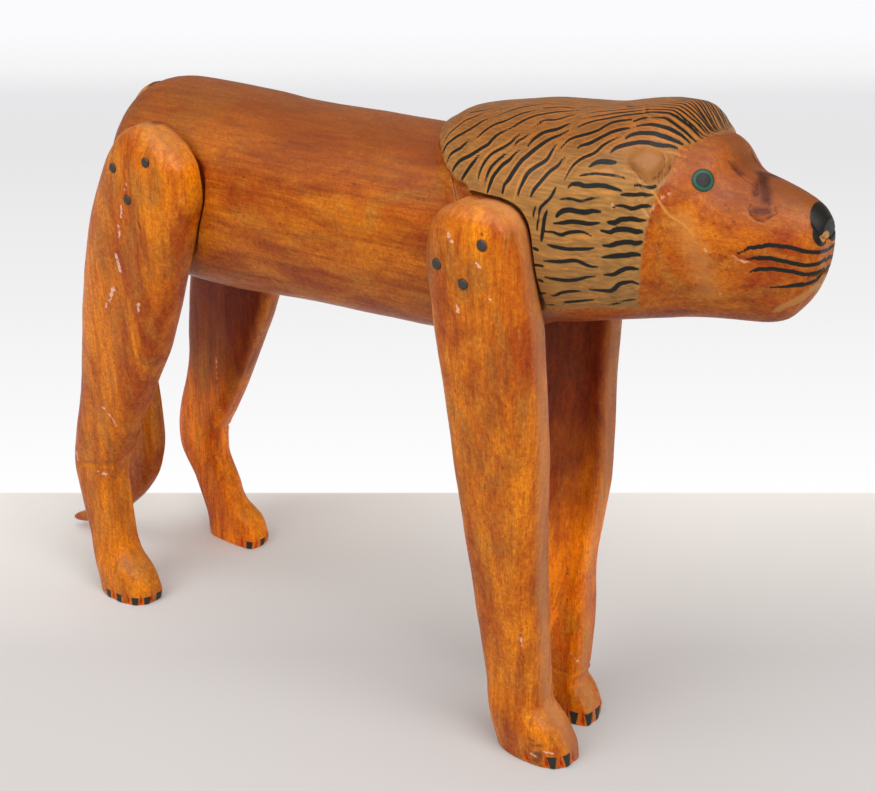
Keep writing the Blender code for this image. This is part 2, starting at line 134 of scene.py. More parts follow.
def log_section(share):
    """Points round the log, from its bottom over its left side, top and right side."""
    place = min(1.0, max(0.0, share))
    x = place * LOG_LENGTH
    mane = min(1.0, max(0.0, (x - MANE_START_SHARE * LOG_LENGTH) / MANE_EDGE))
    mane *= min(1.0, max(0.0, (FOREHEAD_SHARE - place) / FOREHEAD_FADE_SHARE))
    top = smooth_line(LOG_TOP, place) * LOG_HEIGHT + MANE_STEP * mane
    bottom = smooth_line(LOG_BOTTOM, place) * LOG_HEIGHT
    half = smooth_line(LOG_SIDE, place) * LOG_WIDTH / 2 + MANE_STEP * mane
    rump, muzzle = fillet(x, RUMP_ROUNDING), fillet(LOG_LENGTH - x, MUZZLE_ROUNDING)
    exponent = 2 / smooth_line(LOG_SQUARENESS, place)
    angle = np.linspace(-0.5, 1.5, ROUND_POINTS + 1) * math.pi
    across, rise = np.cos(angle), np.sin(angle)
    y = power(across, exponent) * (half - rump - muzzle * half / (half + MUZZLE_ROUNDING))
    z = (top + bottom) / 2 + power(rise, exponent) * ((top - bottom) / 2 - rump)
    sweep = smooth_line(LOG_SWEEP, place) * LOG_LENGTH * (1 - np.maximum(0.0, rise) ** 2)
    ring = np.column_stack((RUMP_END + x + sweep, MIDDLE + y, LOG_AXIS_HEIGHT + z))
    return closed_end(ring, share)


def make_skin(section, stations):
    """A piece's sections as rings of evenly spaced points, with their girth and distance along the piece."""
    shares = np.linspace(-END_SHARE, 1 + END_SHARE, stations)
    even = []
    girth = []
    for share in shares:
        ring = section(share)
        travel = np.concatenate(([0.0], np.cumsum(np.linalg.norm(np.diff(ring, axis=0), axis=1))))
        steps = np.linspace(0, travel[-1], len(ring))
        even.append(np.column_stack([np.interp(steps, travel, ring[:, axis]) for axis in range(3)]))
        girth.append(travel[-1])
    even = np.array(even)
    moves = np.linalg.norm(np.diff(even, axis=0), axis=2).max(axis=1)
    return {"rings": even, "girth": np.array(girth), "shares": shares,
            "along": np.concatenate(([0.0], np.cumsum(moves)))}


def on_skin(skin, shares, turns):
    """Points of a skin at shares of the piece's length and turns round it, from 0 to 1."""
    rings = skin["rings"]
    row = np.interp(shares, skin["shares"], np.arange(len(rings)))
    column = np.asarray(turns) * (rings.shape[1] - 1)
    low_row = np.minimum(row.astype(int), len(rings) - 2)
    low_column = np.minimum(column.astype(int), rings.shape[1] - 2)
    on, over = (row - low_row)[:, None], (column - low_column)[:, None]
    near = rings[low_row, low_column] * (1 - over) + rings[low_row, low_column + 1] * over
    far = rings[low_row + 1, low_column] * (1 - over) + rings[low_row + 1, low_column + 1] * over
    return near * (1 - on) + far * on


def wrapped_net(skin, spacing, finer):
    """A flat net wrapped round a skin and sewn up, with its squares halved once more in each finer area."""
    length = skin["along"][-1]
    net = bmesh.new()
    bmesh.ops.create_grid(net, x_segments=round(skin["girth"].max() / spacing),
                          y_segments=round(length / spacing), size=0.5)
    for area in finer:
        middles = np.array([face.calc_center_median()[:2] for face in net.faces]) + 0.5
        wanted = area(np.interp(middles[:, 1] * length, skin["along"], skin["shares"]), middles[:, 0])
        for face, chosen in zip(net.faces, wanted):
            face.tag = bool(chosen)
        edges = [edge for edge in net.edges if any(face.tag for face in edge.link_faces)]
        bmesh.ops.subdivide_edges(net, edges=edges, cuts=1, use_grid_fill=True)
    share_layer = net.verts.layers.float.new("share")
    turn_layer = net.verts.layers.float.new("turn")
    flat = np.array([vertex.co[:2] for vertex in net.verts]) + 0.5
    shares = np.interp(flat[:, 1] * length, skin["along"], skin["shares"])
    turns = flat[:, 0]
    for vertex, share, turn, place in zip(net.verts, shares, turns, on_skin(skin, shares, turns)):
        vertex[share_layer], vertex[turn_layer] = share, turn
        vertex.co = place
    bmesh.ops.remove_doubles(net, verts=net.verts, dist=MERGE_DISTANCE)
    bmesh.ops.recalc_face_normals(net, faces=net.faces)
    net.normal_update()
    return net


def net_places(net):
    """Each point's share along the piece, turn round it, place and outward direction."""
    share_layer, turn_layer = net.verts.layers.float["share"], net.verts.layers.float["turn"]
    shares = np.array([vertex[share_layer] for vertex in net.verts])
    turns = np.array([vertex[turn_layer] for vertex in net.verts])
    return (shares, turns, np.array([vertex.co for vertex in net.verts]),
            np.array([vertex.normal for vertex in net.verts]))


def carve(net, depths):
    """Move every point out along its own direction by its depth; a negative depth cuts in."""
    for vertex, depth in zip(net.verts, depths):
        vertex.co += vertex.normal * float(depth)


def finish_piece(name, net, marks):
    """Make a net an object, with each set of painted marks as a number on its points."""
    mesh = bpy.data.meshes.new(name)
    net.to_mesh(mesh)
    net.free()
    for mark, values in marks.items():
        mesh.attributes.new(mark, "FLOAT", "POINT").data.foreach_set("value", values.astype(np.float32))
    mesh.shade_smooth()
    piece = bpy.data.objects.new(name, mesh)
    bpy.context.collection.objects.link(piece)
    return piece


# Distances of marks are in millimetres, and further than this from a mark they all read the same
MARK_REACH = 6.0


def line_marks(places, lines):
    """Distance from each place to the edge of the nearest painted line, negative inside it."""
    found = np.full(len(places), MARK_REACH)
    for line, halves in lines:
        margin = (MARK_REACH + max(halves)) / 1000
        near = np.flatnonzero(((places > line.min(0) - margin) & (places < line.max(0) + margin)).all(1))
        spots = places[near]
        for a, b, half_a, half_b in zip(line, line[1:], halves, halves[1:]):
            run = b - a
            t = clamp((spots - a) @ run / max(run @ run, 1e-12))
            gap = np.linalg.norm(spots - a - t[:, None] * run, axis=1) * 1000 - half_a - (half_b - half_a) * t
            found[near] = np.minimum(found[near], gap)
    return found


def outline_marks(points, outline):
    """Distance from flat points to a closed outline, negative inside it."""
    gap = np.full(len(points), np.inf)
    inside = np.zeros(len(points), bool)
    corners = np.array(outline, float)
    for a, b in zip(corners, np.roll(corners, -1, axis=0)):
        run = b - a
        t = clamp((points - a) @ run / (run @ run))
        gap = np.minimum(gap, np.linalg.norm(points - a - t[:, None] * run, axis=1))
        crosses = (a[1] > points[:, 1]) != (b[1] > points[:, 1])
        height = np.where(b[1] == a[1], 1.0, b[1] - a[1])
        inside ^= crosses & (points[:, 0] < a[0] + (points[:, 1] - a[1]) * run[0] / height)
    return np.where(inside, -gap, gap)


log_skin = make_skin(log_section, LOG_SECTIONS)


def log_spots(spots, side):
    """Places on the log at (millimetres from the rump, millimetres down from the top line) on one side."""
    spots = np.asarray(spots, float)
    shares = spots[:, 0] / 1000 / LOG_LENGTH
    girth = np.interp(shares, log_skin["shares"], log_skin["girth"])
    return on_skin(log_skin, shares, 0.5 + side * spots[:, 1] / 1000 / girth)


def mane_area(shares, turns):
    """The carved mane and head, where the net is finer than on the plain torso."""
    return shares > 0.51


def paint_area(shares, turns):
    """The painted sides and top of the mane and face."""
    return (shares > 0.525) & (np.abs(turns - 0.5) < 0.34)


def face_area(shares, turns):
    """The bridge of the muzzle, and more of its tip, with nose and lips."""
    from_top = np.abs(turns - 0.5)
    return ((shares > 0.91) & (from_top < 0.13)) | ((shares > 0.955) & (from_top < 0.28))


log_net = wrapped_net(log_skin, LOG_NET, [mane_area, paint_area, face_area])
log_shares, log_turns, log_places, log_normals = net_places(log_net)
log_down = np.abs(log_turns - 0.5) * np.interp(log_shares, log_skin["shares"], log_skin["girth"]) * 1000
log_along = log_shares * LOG_LENGTH * 1000

# Black brush strokes: how far a stroke thins towards its ends, and the spots it is drawn with
STROKE_TIP = 0.4
STROKE_POINTS = 13
# How far the hand wavers on the right side, as a share of the left
RIGHT_WAVER = 0.25


def stroke(spots, side, half, seed):
    """One smooth brush stroke along spots of the log, thinner at both ends, and less steady on the left."""
    hand = random.Random(seed)
    spots = np.asarray(spots, float)
    reach = np.concatenate(([0.0], np.cumsum(np.linalg.norm(np.diff(spots, axis=0), axis=1))))
    path = np.array([[smooth_line(list(zip(reach, column)), step) for column in spots.T]
                     for step in np.linspace(0, reach[-1], STROKE_POINTS)])
    share = np.linspace(0, 1, STROKE_POINTS)
    wave = hand.uniform(0.4, 1.0) * (1.0 if side < 0 else RIGHT_WAVER)
    path[:, 1] += wave * np.sin(hand.uniform(0, math.tau) + hand.uniform(0.6, 1.4) * math.tau * share)
    thin = np.minimum(fade(share, -0.1, hand.uniform(0.1, 0.45)), fade(share, 1.1, hand.uniform(0.6, 0.9)))
    return log_spots(path, side), list(half * (STROKE_TIP + (1 - STROKE_TIP) * thin))


# The mane's strokes as half width in millimetres, and spots as (millimetres from the rump, millimetres down
# from the top line): locks that fan out from the forehead, then the short strokes below the ear
MANE_LOCKS = [
    (1.1, [(364, 25.5), (371.5, 24.5), (379, 23), (385.5, 20)]),
    (1.1, [(345, 51.5), (348, 47.5), (351.5, 44.5), (358.5, 41.5), (366, 35.5), (373, 33), (379.5, 28.5)]),
    (1.4, [(344, 60.5), (345.5, 57.5), (349, 54), (354.5, 53), (361, 51.5), (369, 48.5), (375.5, 45),
          (381, 40.5), (387, 37)]),
    (1.4, [(345.5, 72), (348, 67.5), (352.5, 65), (359, 65), (362.5, 63), (368, 60)]),
    (1.6, [(348, 80.5), (350, 78.5), (358.5, 74.5), (365, 73.5), (372.5, 71), (380.5, 67.5), (389, 64),
          (393.5, 59.5), (400, 55), (406, 52.5)]),
    (1.3, [(403.5, 53.5), (412.5, 49), (417.5, 44), (423, 39), (428, 34.5), (434, 31.5), (440.5, 27.5),
          (447.5, 25), (457, 21)]),
    (1.3, [(377, 57.5), (384, 52.5), (389.5, 48.5), (395.5, 45), (402, 43), (408.5, 39), (413.5, 34.5),
          (419, 30.5), (424, 27.5)]),
    (1.4, [(394.5, 35), (398, 31), (404, 27.5), (409.5, 23.5), (415.5, 20), (421.5, 16), (425.5, 13)]),
    (0.85, [(389, 26), (394, 23.5), (399.5, 18.5), (403.5, 15.5)]),
    (1.2, [(428.5, 22.5), (435, 19.5), (441, 17), (446.5, 17), (452, 17.5)]),
    (1.2, [(429.5, 48), (433.5, 44.5), (435, 41), (438, 39), (445, 38), (450.5, 34.5), (454, 31.5),
          (458, 29.5)]),
    (1.8, [(428, 65), (431, 60.5), (435.5, 56), (439.5, 52.5), (445.5, 49.5), (451.5, 47), (456, 43.5),
          (459, 41)]),
    (1.8, [(399, 100.5), (401.5, 95.5), (407.5, 91.5), (412.5, 86.5), (417.5, 81.5), (422.5, 76.5), (430, 71),
          (437, 65), (443, 60), (448.5, 56), (455.5, 52.5), (461, 48)]),
    (1.6, [(417, 101), (419.5, 96), (423, 91.5), (426.5, 86.5), (431, 82.5), (437.5, 78.5), (444, 75),
          (448.5, 71.5), (451, 66), (454, 61)]),
    (1.4, [(431.5, 99.5), (434, 95.5), (439.5, 90.5), (445, 85.5), (451.5, 80), (459, 75.5), (462, 71.5),
          (464.5, 69.5)]),
    (1.7, [(350.5, 93.5), (355, 90), (361, 85.5), (367, 81), (373, 76.5), (377.5, 73)]),
    (1.3, [(372.5, 91.5), (375.5, 86), (380.5, 80.5), (386.5, 75.5), (392, 72), (400, 69), (405, 67),
          (411, 64), (413.5, 61), (419, 56)]),
    (1.3, [(379.5, 94), (383.5, 88.5), (388.5, 83), (394.5, 79), (401, 75.5), (407.5, 72)]),
    (1.6, [(380.5, 101), (384.5, 96), (389.5, 90), (395, 86), (402, 81), (410.5, 76.5), (416, 71.5),
          (420, 69)]),
    (1.15, [(415, 65.5), (418.5, 61.5), (423.5, 58.5), (428.5, 54)]),
    (1.6, [(458.5, 63.5), (462, 59), (466, 55), (473, 53), (480.5, 51), (487, 48.5), (490.5, 44.5),
          (494.5, 41.5), (501, 40), (507, 38.5)]),
    (1.7, [(474, 63), (477, 61), (482.5, 60), (488.5, 57), (493, 54.5), (498, 51.5), (504, 49),
          (509.5, 47)]),
    (1.3, [(467, 84), (470.5, 78.5), (475.5, 73.5), (481, 70.5), (488.5, 68), (493, 65), (495, 62),
          (499.5, 59), (505, 55.5)]),
    (1.2, [(467.5, 45), (472, 41.5), (479, 38), (487.5, 36.5), (495.5, 34.5), (502.5, 33), (510, 30.5),
          (514, 29)]),
    (1.1, [(466, 36), (473.5, 32.5), (481.5, 31.5), (489.5, 29.5), (497.5, 29), (505, 27), (512, 24.5)]),
    (0.85, [(462, 30.5), (469, 26), (476.5, 24), (486.5, 24.5), (494.5, 24), (504, 22.5), (511, 20)]),
    (0.85, [(455.5, 14), (462.5, 13), (472.5, 15.5)]),
    (0.85, [(490.5, 17), (497, 19.5), (502, 17.5), (507, 14)]),
    (1.7, [(504, 66.5), (505.5, 64), (510.5, 61), (517, 57.5), (522.5, 55), (528, 53.5), (533, 49.5),
          (538, 42.5), (543, 36.5)]),
    (1.8, [(511, 55), (514, 51.5), (519.5, 48.5), (525.5, 47), (531, 44.5), (535.5, 40), (539, 36.5),
          (543, 32)]),
    (1.6, [(514, 44), (517.5, 42), (522.5, 39.5), (528, 39), (532.5, 35.5), (537, 32), (541, 29),
          (545, 26.5)]),
    (1.3, [(510, 40), (513, 36.5), (516.5, 34)]),
    (1.4, [(519, 33), (526, 31.5), (532, 29.5), (540, 25), (547.5, 21)]),
    (1.4, [(512, 28), (520, 26), (528, 24.5), (535, 21.5), (542, 17.5), (548, 15.5)]),
    (1.0, [(510, 23.5), (518, 22), (526, 20.5), (534, 18.5), (541, 15), (549, 11.5)]),
    (1.0, [(509, 18.5), (518, 17), (527, 16), (535, 13.5), (542, 10), (548.5, 8)]),
    (1.0, [(508, 13), (518, 12), (528, 11.5), (536, 9), (543, 6.5), (550, 5)]),
    (1.0, [(511, 7.5), (521, 7), (530, 6.5), (538, 4), (549, 2)]),
    (1.0, [(516, 2.5), (528, 2), (537, 1), (545, 0), (552, 0)])]
MANE_BLOCK = [
    (1.8, [(488.5, 76.5), (493, 74), (499, 73), (505.5, 73), (510, 72.5)]),
    (0.95, [(480.5, 82), (488.5, 81.5), (496, 81), (504, 81), (511.5, 80.5), (516, 80), (520, 81)]),
    (1.6, [(471, 89.5), (474, 87.5), (480.5, 87.5), (487.5, 89), (494.5, 88.5), (500, 88), (505.5, 88),
          (512.5, 88.5), (517.5, 88.5)]),
    (0.95, [(463, 98), (469, 96.5), (477, 97), (485.5, 98.5), (493.5, 97), (500, 96), (507, 95)]),
    (1.8, [(460.5, 108.5), (465.5, 105), (474, 104), (481, 105), (490, 105.5), (496.5, 104.5),
          (503, 104.5)]),
    (1.6, [(457.5, 113.5), (467.5, 112.5), (476.5, 111.5), (485.5, 112), (494, 113), (503, 112)]),
    (1.3, [(447, 120.5), (456.5, 119.5), (466, 120.5), (474.5, 118.5), (485, 118), (491, 119),
          (496.5, 121)]),
    (1.3, [(451, 128.5), (461.5, 129), (475, 130), (487.5, 130), (495.5, 129.5), (499, 128.5)]),
    (1.4, [(447, 140), (458.5, 139.5), (469.5, 138.5), (480.5, 137.5), (486, 138.5), (491, 140.5),
          (496, 142), (502, 142)]),
    (1.4, [(447, 152), (459, 152), (471.5, 152.5), (482.5, 152), (490.5, 150), (499.5, 149)]),
    (1.2, [(448, 167), (453, 166.5), (461.5, 163), (471.5, 161.5), (482.5, 161)]),
    (1.4, [(457.5, 174.5), (466, 171.5), (478, 170.5), (486.5, 169.5), (493, 169)]),
    (0.95, [(434, 179), (441.5, 178), (451.5, 175)]),
    (1.2, [(435, 133.5), (440.5, 133.5)]),
    (1.1, [(434.5, 145.5), (441, 144.5), (447, 144)]),
    (1.2, [(437.5, 155.5), (444.5, 156)]),
    (0.95, [(435.5, 169), (440.5, 166.5), (444.5, 165.5)]),
    (1.2, [(531.5, 79.5), (535, 75.5), (537, 72.5), (538.5, 69.5)]),
    (0.95, [(526.5, 83.5), (528.5, 81.5), (531, 80)]),
    (1.3, [(518, 91), (523, 89.5), (527.5, 88.5), (531.5, 84.5), (535.5, 79.5), (538.5, 75)]),
    (1.4, [(513, 100.5), (516.5, 98.5), (521.5, 97.5), (526.5, 97.5), (530.5, 93.5), (532.5, 90.5),
          (537, 84.5), (539.5, 80.5)]),
    (1.7, [(510, 110.5), (515.5, 109.5), (519, 107), (524.5, 105), (531, 101), (535.5, 95.5)]),
    (1.8, [(504.5, 117), (511, 117), (516, 114), (522.5, 112), (529, 110.5), (534, 105)]),
    (1.7, [(506.5, 126.5), (512.5, 125.5), (517, 123), (523, 120.5), (530, 117.5), (535, 110)]),
    (1.8, [(506, 134.5), (512.5, 133), (519.5, 130.5), (526, 128), (534, 121)]),
    (1.6, [(506.5, 147), (513.5, 145.5), (519, 141.5), (524.5, 138), (529, 136), (532, 133)]),
    (1.6, [(491.5, 159.5), (501, 160), (509.5, 159.5), (514, 156), (517.5, 152), (523, 149), (531, 145.5)]),
    (1.3, [(496, 175), (505, 174), (511, 170.5), (518.5, 166.5), (526.5, 163)]),
    (1.2, [(458.5, 89.5), (457, 92), (453, 97.5), (446.5, 102), (442, 105.5), (440.5, 110.5)]),
    (1.4, [(450, 106), (447, 111.5), (446, 116.5), (445, 122), (444, 127)]),
    (0.85, [(437, 104.5), (435, 109), (434, 113)]),
    (0.85, [(441, 111), (439, 117), (438.5, 121)])]


def mane_strokes(side, seed):
    """The black strokes of one side of the mane."""
    hand = random.Random(seed)
    return [stroke(spots, side, half, hand.random()) for half, spots in MANE_LOCKS + MANE_BLOCK]


# Where streaks lie among the short strokes below the ear, in millimetres: how far down, and how far from the
# rump they start, an edge that runs back as it goes down until it is at its rearmost
STREAKS_DOWN = (74, 176)
STREAKS_START = 484
STREAKS_RUN_BACK = 0.8
STREAKS_REARMOST = 447


def mane_streaks(side, seed, away, half, count):
    """Soft streaks beside the locks, where the tan paint was brushed thin or thick, and a few below them.

    They lie this far away from the locks, with this half width, and this many lie below the ear.
    """
    hand = random.Random(seed)
    lines = []
    for _, spots in MANE_LOCKS:
        run = np.gradient(np.array(spots, float), axis=0)
        run /= np.linalg.norm(run, axis=1)[:, None]
        for way in (-1, 1):
            shift = way * (away + hand.uniform(-0.4, 0.4))
            beside = np.column_stack((-run[:, 1], run[:, 0])) * shift
            path = np.array(spots) + beside + run * hand.uniform(-5, 5)
            lines.append(stroke(path, side, half * hand.uniform(0.6, 1.2), hand.random()))
    for _ in range(count):
        down = hand.uniform(*STREAKS_DOWN)
        edge = max(STREAKS_REARMOST, STREAKS_START - STREAKS_RUN_BACK * (down - STREAKS_DOWN[0]))
        start = edge + hand.uniform(-3, 40)
        lines.append(stroke([(start, down), (start + hand.uniform(20, 50), down - 1)], side,
                            half * hand.uniform(0.4, 0.8), hand.random()))
    return lines


# Painted mane, in millimetres: its rear and front edges as (down from the top line, from the rump), and its
# lower edge as (from the rump, down from the top line)
MANE_REAR = [(0, 340), (43, 342), (67, 344), (75, 346), (82, 349), (88, 352), (92, 358), (110, 366)]
MANE_FRONT = [(0, 554), (10, 550), (21, 547.5), (32, 543.5), (40, 542), (60, 542.5), (69, 540), (88, 538),
              (111, 535.5), (145, 532), (167, 527), (200, 522)]
MANE_LOWER = [(340, 190), (430, 183.5), (452, 180), (475, 178.5), (511, 177.5), (524, 173.5), (560, 165)]
mane_rear = np.interp(log_down, *zip(*MANE_REAR))
mane_paint = np.max([mane_rear - log_along,
                     log_along - np.interp(log_down, *zip(*MANE_FRONT)),
                     log_down - np.interp(log_along, *zip(*MANE_LOWER))], axis=0)

# Face, in metres from the rump, the middle plane and the floor: a black pad over the nose, a black lobe on
# each side below it with a bare nostril, four whiskers a side that meet at the lips, and a ringed eye. The
# whiskers, jaw and eyes lie on the skin and are in millimetres, as the mane is. 1 is right and -1 left.
NOSE_PAD = (0.6275, 0.0, 0.4548)
NOSE_PAD_RADIUS = 12.4
NOSE_PAD_WIDENING = 0.88
NOSE_WING = (0.6305, 0.0078, 0.4482)
NOSE_WING_RADIUS = 7.7
NOSTRILS = {1: (0.632, 0.0050, 0.4464), -1: (0.632, 0.0165, 0.4464)}
NOSTRIL_RADIUS = 3.4
NOSTRIL_WIDENING = 0.62
NOSE_CREASE = 0.0009
WHISKERS = [[(589, 62), (596, 54), (606, 46), (618, 39), (626, 34)],
            [(595, 62), (600, 58), (608, 53), (617, 49), (626, 43)],
            [(597, 69), (602, 64), (611, 58), (620, 53), (627, 48)],
            [(609, 72), (618, 65), (624, 59), (628, 54)]]
WHISKER_ENDS = [(0.632, 0.001, 0.4365), (0.632, 0.001, 0.4305), (0.632, 0.001, 0.4245),
                (0.632, 0.006, 0.4185)]
WHISKER_HALF = 1.35
WHISKER_TIP = 0.35
WHISKER_POINTS = 40
HEAD_SHARE = 0.9
# A paler facet along the front of the lower jaw
JAW = [(608, 93), (614, 85), (620, 77), (625, 69), (628, 61)]
JAW_END = (0.632, 0.002, 0.413)
JAW_HALF = 3.4
EYES = {1: (561, 41), -1: (561, 48)}
EYE_RADIUS = 7.4
IRIS_RADIUS = 6.6
PUPIL_RADIUS = 4.7
EYE_RELIEF = 0.0009


def from_rump(point, side):
    """A place on the right, side 1, or the left, side -1, from metres that start at the rump."""
    return np.array((RUMP_END + point[0], MIDDLE - side * point[1], point[2]))


def ball_marks(places, centre, radius):
    """Distance from each place to a ball, negative inside it."""
    return np.linalg.norm(places - np.array(centre), axis=1) * 1000 - radius


def whisker(spots, side, end):
    """A whisker over the rounded muzzle to its end on the lips, laid on the skin point by point."""
    line = np.vstack((log_spots(spots, side), from_rump(end, side)))
    share = np.linspace(0, len(line) - 1, WHISKER_POINTS)
    line = np.column_stack([np.interp(share, np.arange(len(line)), line[:, axis]) for axis in range(3)])
    head = log_places[log_shares > HEAD_SHARE]
    line = np.array([head[np.argmin(np.linalg.norm(head - spot, axis=1))] for spot in line])
    return line, list(WHISKER_HALF * (WHISKER_TIP + (1 - WHISKER_TIP) * fade(share, 0.0, 1.5)))


def oval_marks(places, centre, widening, radius):
    """Distance from each place to a ball stretched across the lion, negative inside it."""
    return np.linalg.norm((places - centre) * (1, widening, 1), axis=1) * 1000 - radius


black, streaks, shades, jaw, wing_gap, nostril_gap, eye_gap = [], [], [], [], [], [], []
for side in (-1, 1):
    # the lion's right side, +1 here, is where Y is negative
    black += mane_strokes(side, seed=11 + side)
    streaks += mane_streaks(side, seed=31 + side, away=2.3, half=0.9, count=30)
    shades += mane_streaks(side, seed=41 + side, away=3.3, half=0.6, count=24)
    jaw_halves = list(JAW_HALF * np.sin(np.linspace(0.2, 2.6, WHISKER_POINTS)))
    jaw.append((whisker(JAW, side, JAW_END)[0], jaw_halves))
    for line, end in zip(WHISKERS, WHISKER_ENDS):
        black.append(whisker(line, side, end))
    wing_gap.append(ball_marks(log_places, from_rump(NOSE_WING, side), NOSE_WING_RADIUS))
    nostril_gap.append(oval_marks(log_places, from_rump(NOSTRILS[side], side), NOSTRIL_WIDENING,
                                  NOSTRIL_RADIUS))
    eye_gap.append(ball_marks(log_places, log_spots([EYES[side]], side)[0], 0.0))
eye_gap, wing_gap, nostril_gap = (np.min(gaps, axis=0) for gaps in (eye_gap, wing_gap, nostril_gap))
pad_gap = oval_marks(log_places, from_rump(NOSE_PAD, 1), NOSE_PAD_WIDENING, NOSE_PAD_RADIUS)
stroke_gap = line_marks(log_places, black)
# more than 8 mm in front of the mane is the face; the strokes behind that stay inside the tan paint
on_head = log_along > np.interp(log_down, *zip(*MANE_FRONT)) + 8
stroke_gap = np.where(on_head, stroke_gap, np.maximum(stroke_gap, mane_paint + 0.5))

# Wear: knots and bruises of the wood, thin cracks, a stain across the muzzle and pale chips in the varnish,
# as lines of spots with a half width in millimetres
KNOTS = [([(264, 81), (267, 81)], 1.6), ([(196, 169), (202, 172), (207, 175)], 1.6),
         ([(508, 165), (512, 164.5)], 1.5), ([(576, 38.4), (576.3, 38.6)], 0.6),
         ([(120, 60), (121, 61)], 1.0)]
STAINS = [([(583, 1), (587, 4), (590, 12), (595, 17), (597, 21)], 3.5), ([(594, 32), (600, 28)], 3.0),
          ([(587, 14), (590, 21)], 2.0), ([(568, 14), (575, 13)], 1.5)]
CRACKS = [([(590, 30), (589.5, 33), (592.6, 36), (596.7, 36.5), (600.5, 34.7), (603.3, 30), (606, 26),
            (604, 23)], 0.5),
          ([(566, 15), (571, 13.6), (576.5, 14.2), (583, 15.4), (587, 16.2)], 0.2),
          ([(587, 11), (584, 3)], 0.4), ([(586.7, 20), (590, 22), (591, 18)], 0.4),
          ([(597, 20), (600, 24)], 0.3), ([(262, 77), (259, 81)], 0.3),
          ([(577, 66.5), (579, 69), (580.6, 72)], 0.3), ([(572.7, 73), (574, 74.2)], 0.3),
          ([(263, 85), (267, 86), (270, 83), (269, 78)], 0.35), ([(278, 56), (272, 59), (270, 64)], 0.3)]
# Darker over the brow and down the muzzle, a paler cheek, and painted shade in the hollow under the tail
DARKER_TOP = [([(596, 0), (610, 0)], 14.0), ([(622, 0), (623, 0)], 8.0), ([(558, 0), (574, 0)], 9.0)]
CHEEKS = [([(556, 74), (568, 84), (572, 98)], 7.0)]
TAIL_HOLLOW_AND_SHADE = [([(0, 0), (25, 0)], 15.0)]
CHIPS = [([(189, 156), (192, 157)], 0.5), ([(546, 61.7), (543, 69), (541, 75)], 0.4),
         ([(539.5, 80), (537.7, 88)], 0.5), ([(532, 92), (537, 91)], 0.4), ([(512.3, 98), (512.4, 102)], 0.5),
         ([(587, 64.5), (591, 65), (596, 63)], 0.5), ([(570, 72.4), (570.5, 72.8)], 0.6),
         ([(579.2, 94), (579.2, 96)], 0.3), ([(618, 76), (619, 75.5)], 0.4)]


def spot_marks(groups):
    """Distance from each point of the log to wear that lies on both its sides."""
    lines = [(log_spots(spots, side), [half] * len(spots)) for spots, half in groups for side in (-1, 1)]
    return line_marks(log_places, lines)


# this mark is negative on what faces up, which gets painted shade
log_marks = {
    "black": np.minimum(np.min([stroke_gap, pad_gap, wing_gap], axis=0), MARK_REACH),
    "tan": mane_paint,
    "streak": line_marks(log_places, streaks),
    "shade": line_marks(log_places, shades),
    "jaw": line_marks(log_places, jaw),
    "darker_top": spot_marks(DARKER_TOP),
    "cheek": spot_marks(CHEEKS),
    "eye": eye_gap,
    "nostril": nostril_gap,
    "knot": spot_marks(KNOTS),
    "stain": spot_marks(STAINS),
    "seat": spot_marks(TAIL_HOLLOW_AND_SHADE),
    "top_shade": (0.5 - log_normals[:, 2]) * 30,
    "crack": spot_marks(CRACKS),
    "chip": spot_marks(CHIPS),
}

# Ears: a low lobe, higher on the right, with creases inside its front edge and below it
EAR_OUTLINE = [(518, 72), (517.5, 67), (521, 62), (527, 57), (533.5, 51.5), (538, 48), (541.5, 47.5),
               (543, 53), (540.5, 62.5), (537, 71.5), (533, 76), (526, 76)]
EAR_RELIEF = {1: 0.0022, -1: 0.0010}
EAR_CREASES = [[(537, 51.5), (539, 54.5), (538.5, 61), (536, 69.5)], [(542.5, 50), (541.5, 58), (539, 66)],
               [(522, 73), (529, 76.5), (534, 75)]]
EAR_CREASE_HALF = 0.45
EAR_CREASE_DEPTH = 0.0008
# The brow stands proud of the top line: its height in metres, and its place and spread in millimetres
BROW = 0.0030
BROW_PLACE = 562
BROW_LENGTH = 11
BROW_WIDTH = 26
# Depths of the nostrils, cracks, chips and the hollow under the tail
NOSTRIL_DEPTH = 0.0006
CRACK_DEPTH = 0.0006
CHIP_DEPTH = 0.0005
TAIL_SEAT_DEPTH = 0.0020
# The share of the mane's step that is cut back where the paint's edge leaves the solid's step
STEP_CUT = 0.8
# The knife left shallow facets about 28 mm across, and the wood has smaller unevenness
FACET = 0.028
FACET_DEPTH = 0.00045
DENT = 0.007
DENT_DEPTH = 0.00010


def knife_marks(places, facet_depth, dent_depth):
    """Uneven depths all over a carved surface: shallow facets and small dents."""
    return np.array([noise.noise(Vector(place) / FACET) * facet_depth
                     + noise.noise(Vector(place) / DENT) * dent_depth for place in places])


relief = knife_marks(log_places, FACET_DEPTH, DENT_DEPTH)
# the carved step follows the paint's edge where that leaves the straight step of the solid
relief -= MANE_STEP * STEP_CUT * fade(mane_rear - log_along, 0.0, 6.0) * fade(log_along, 335.0, 345.0)
relief += EYE_RELIEF * (1 - fade(eye_gap, 4.0, EYE_RADIUS + 1.0))
relief -= NOSE_CREASE * (1 - fade(np.abs(pad_gap), 0.3, 1.3)) * (1 - fade(wing_gap, 0.0, 4.0))
relief -= NOSTRIL_DEPTH * (1 - fade(nostril_gap, -1.5, 0.3))
relief -= (CRACK_DEPTH * (1 - fade(log_marks["crack"], -0.3, 0.7))
           + CHIP_DEPTH * (1 - fade(log_marks["chip"], -0.6, 0.5)))
relief -= TAIL_SEAT_DEPTH * (1 - fade(log_marks["seat"], -2.0, 0.0))
relief += BROW * np.exp(-((log_along - BROW_PLACE) / BROW_LENGTH) ** 2 - (log_down / BROW_WIDTH) ** 2)
unrolled = np.column_stack((log_along, log_down))
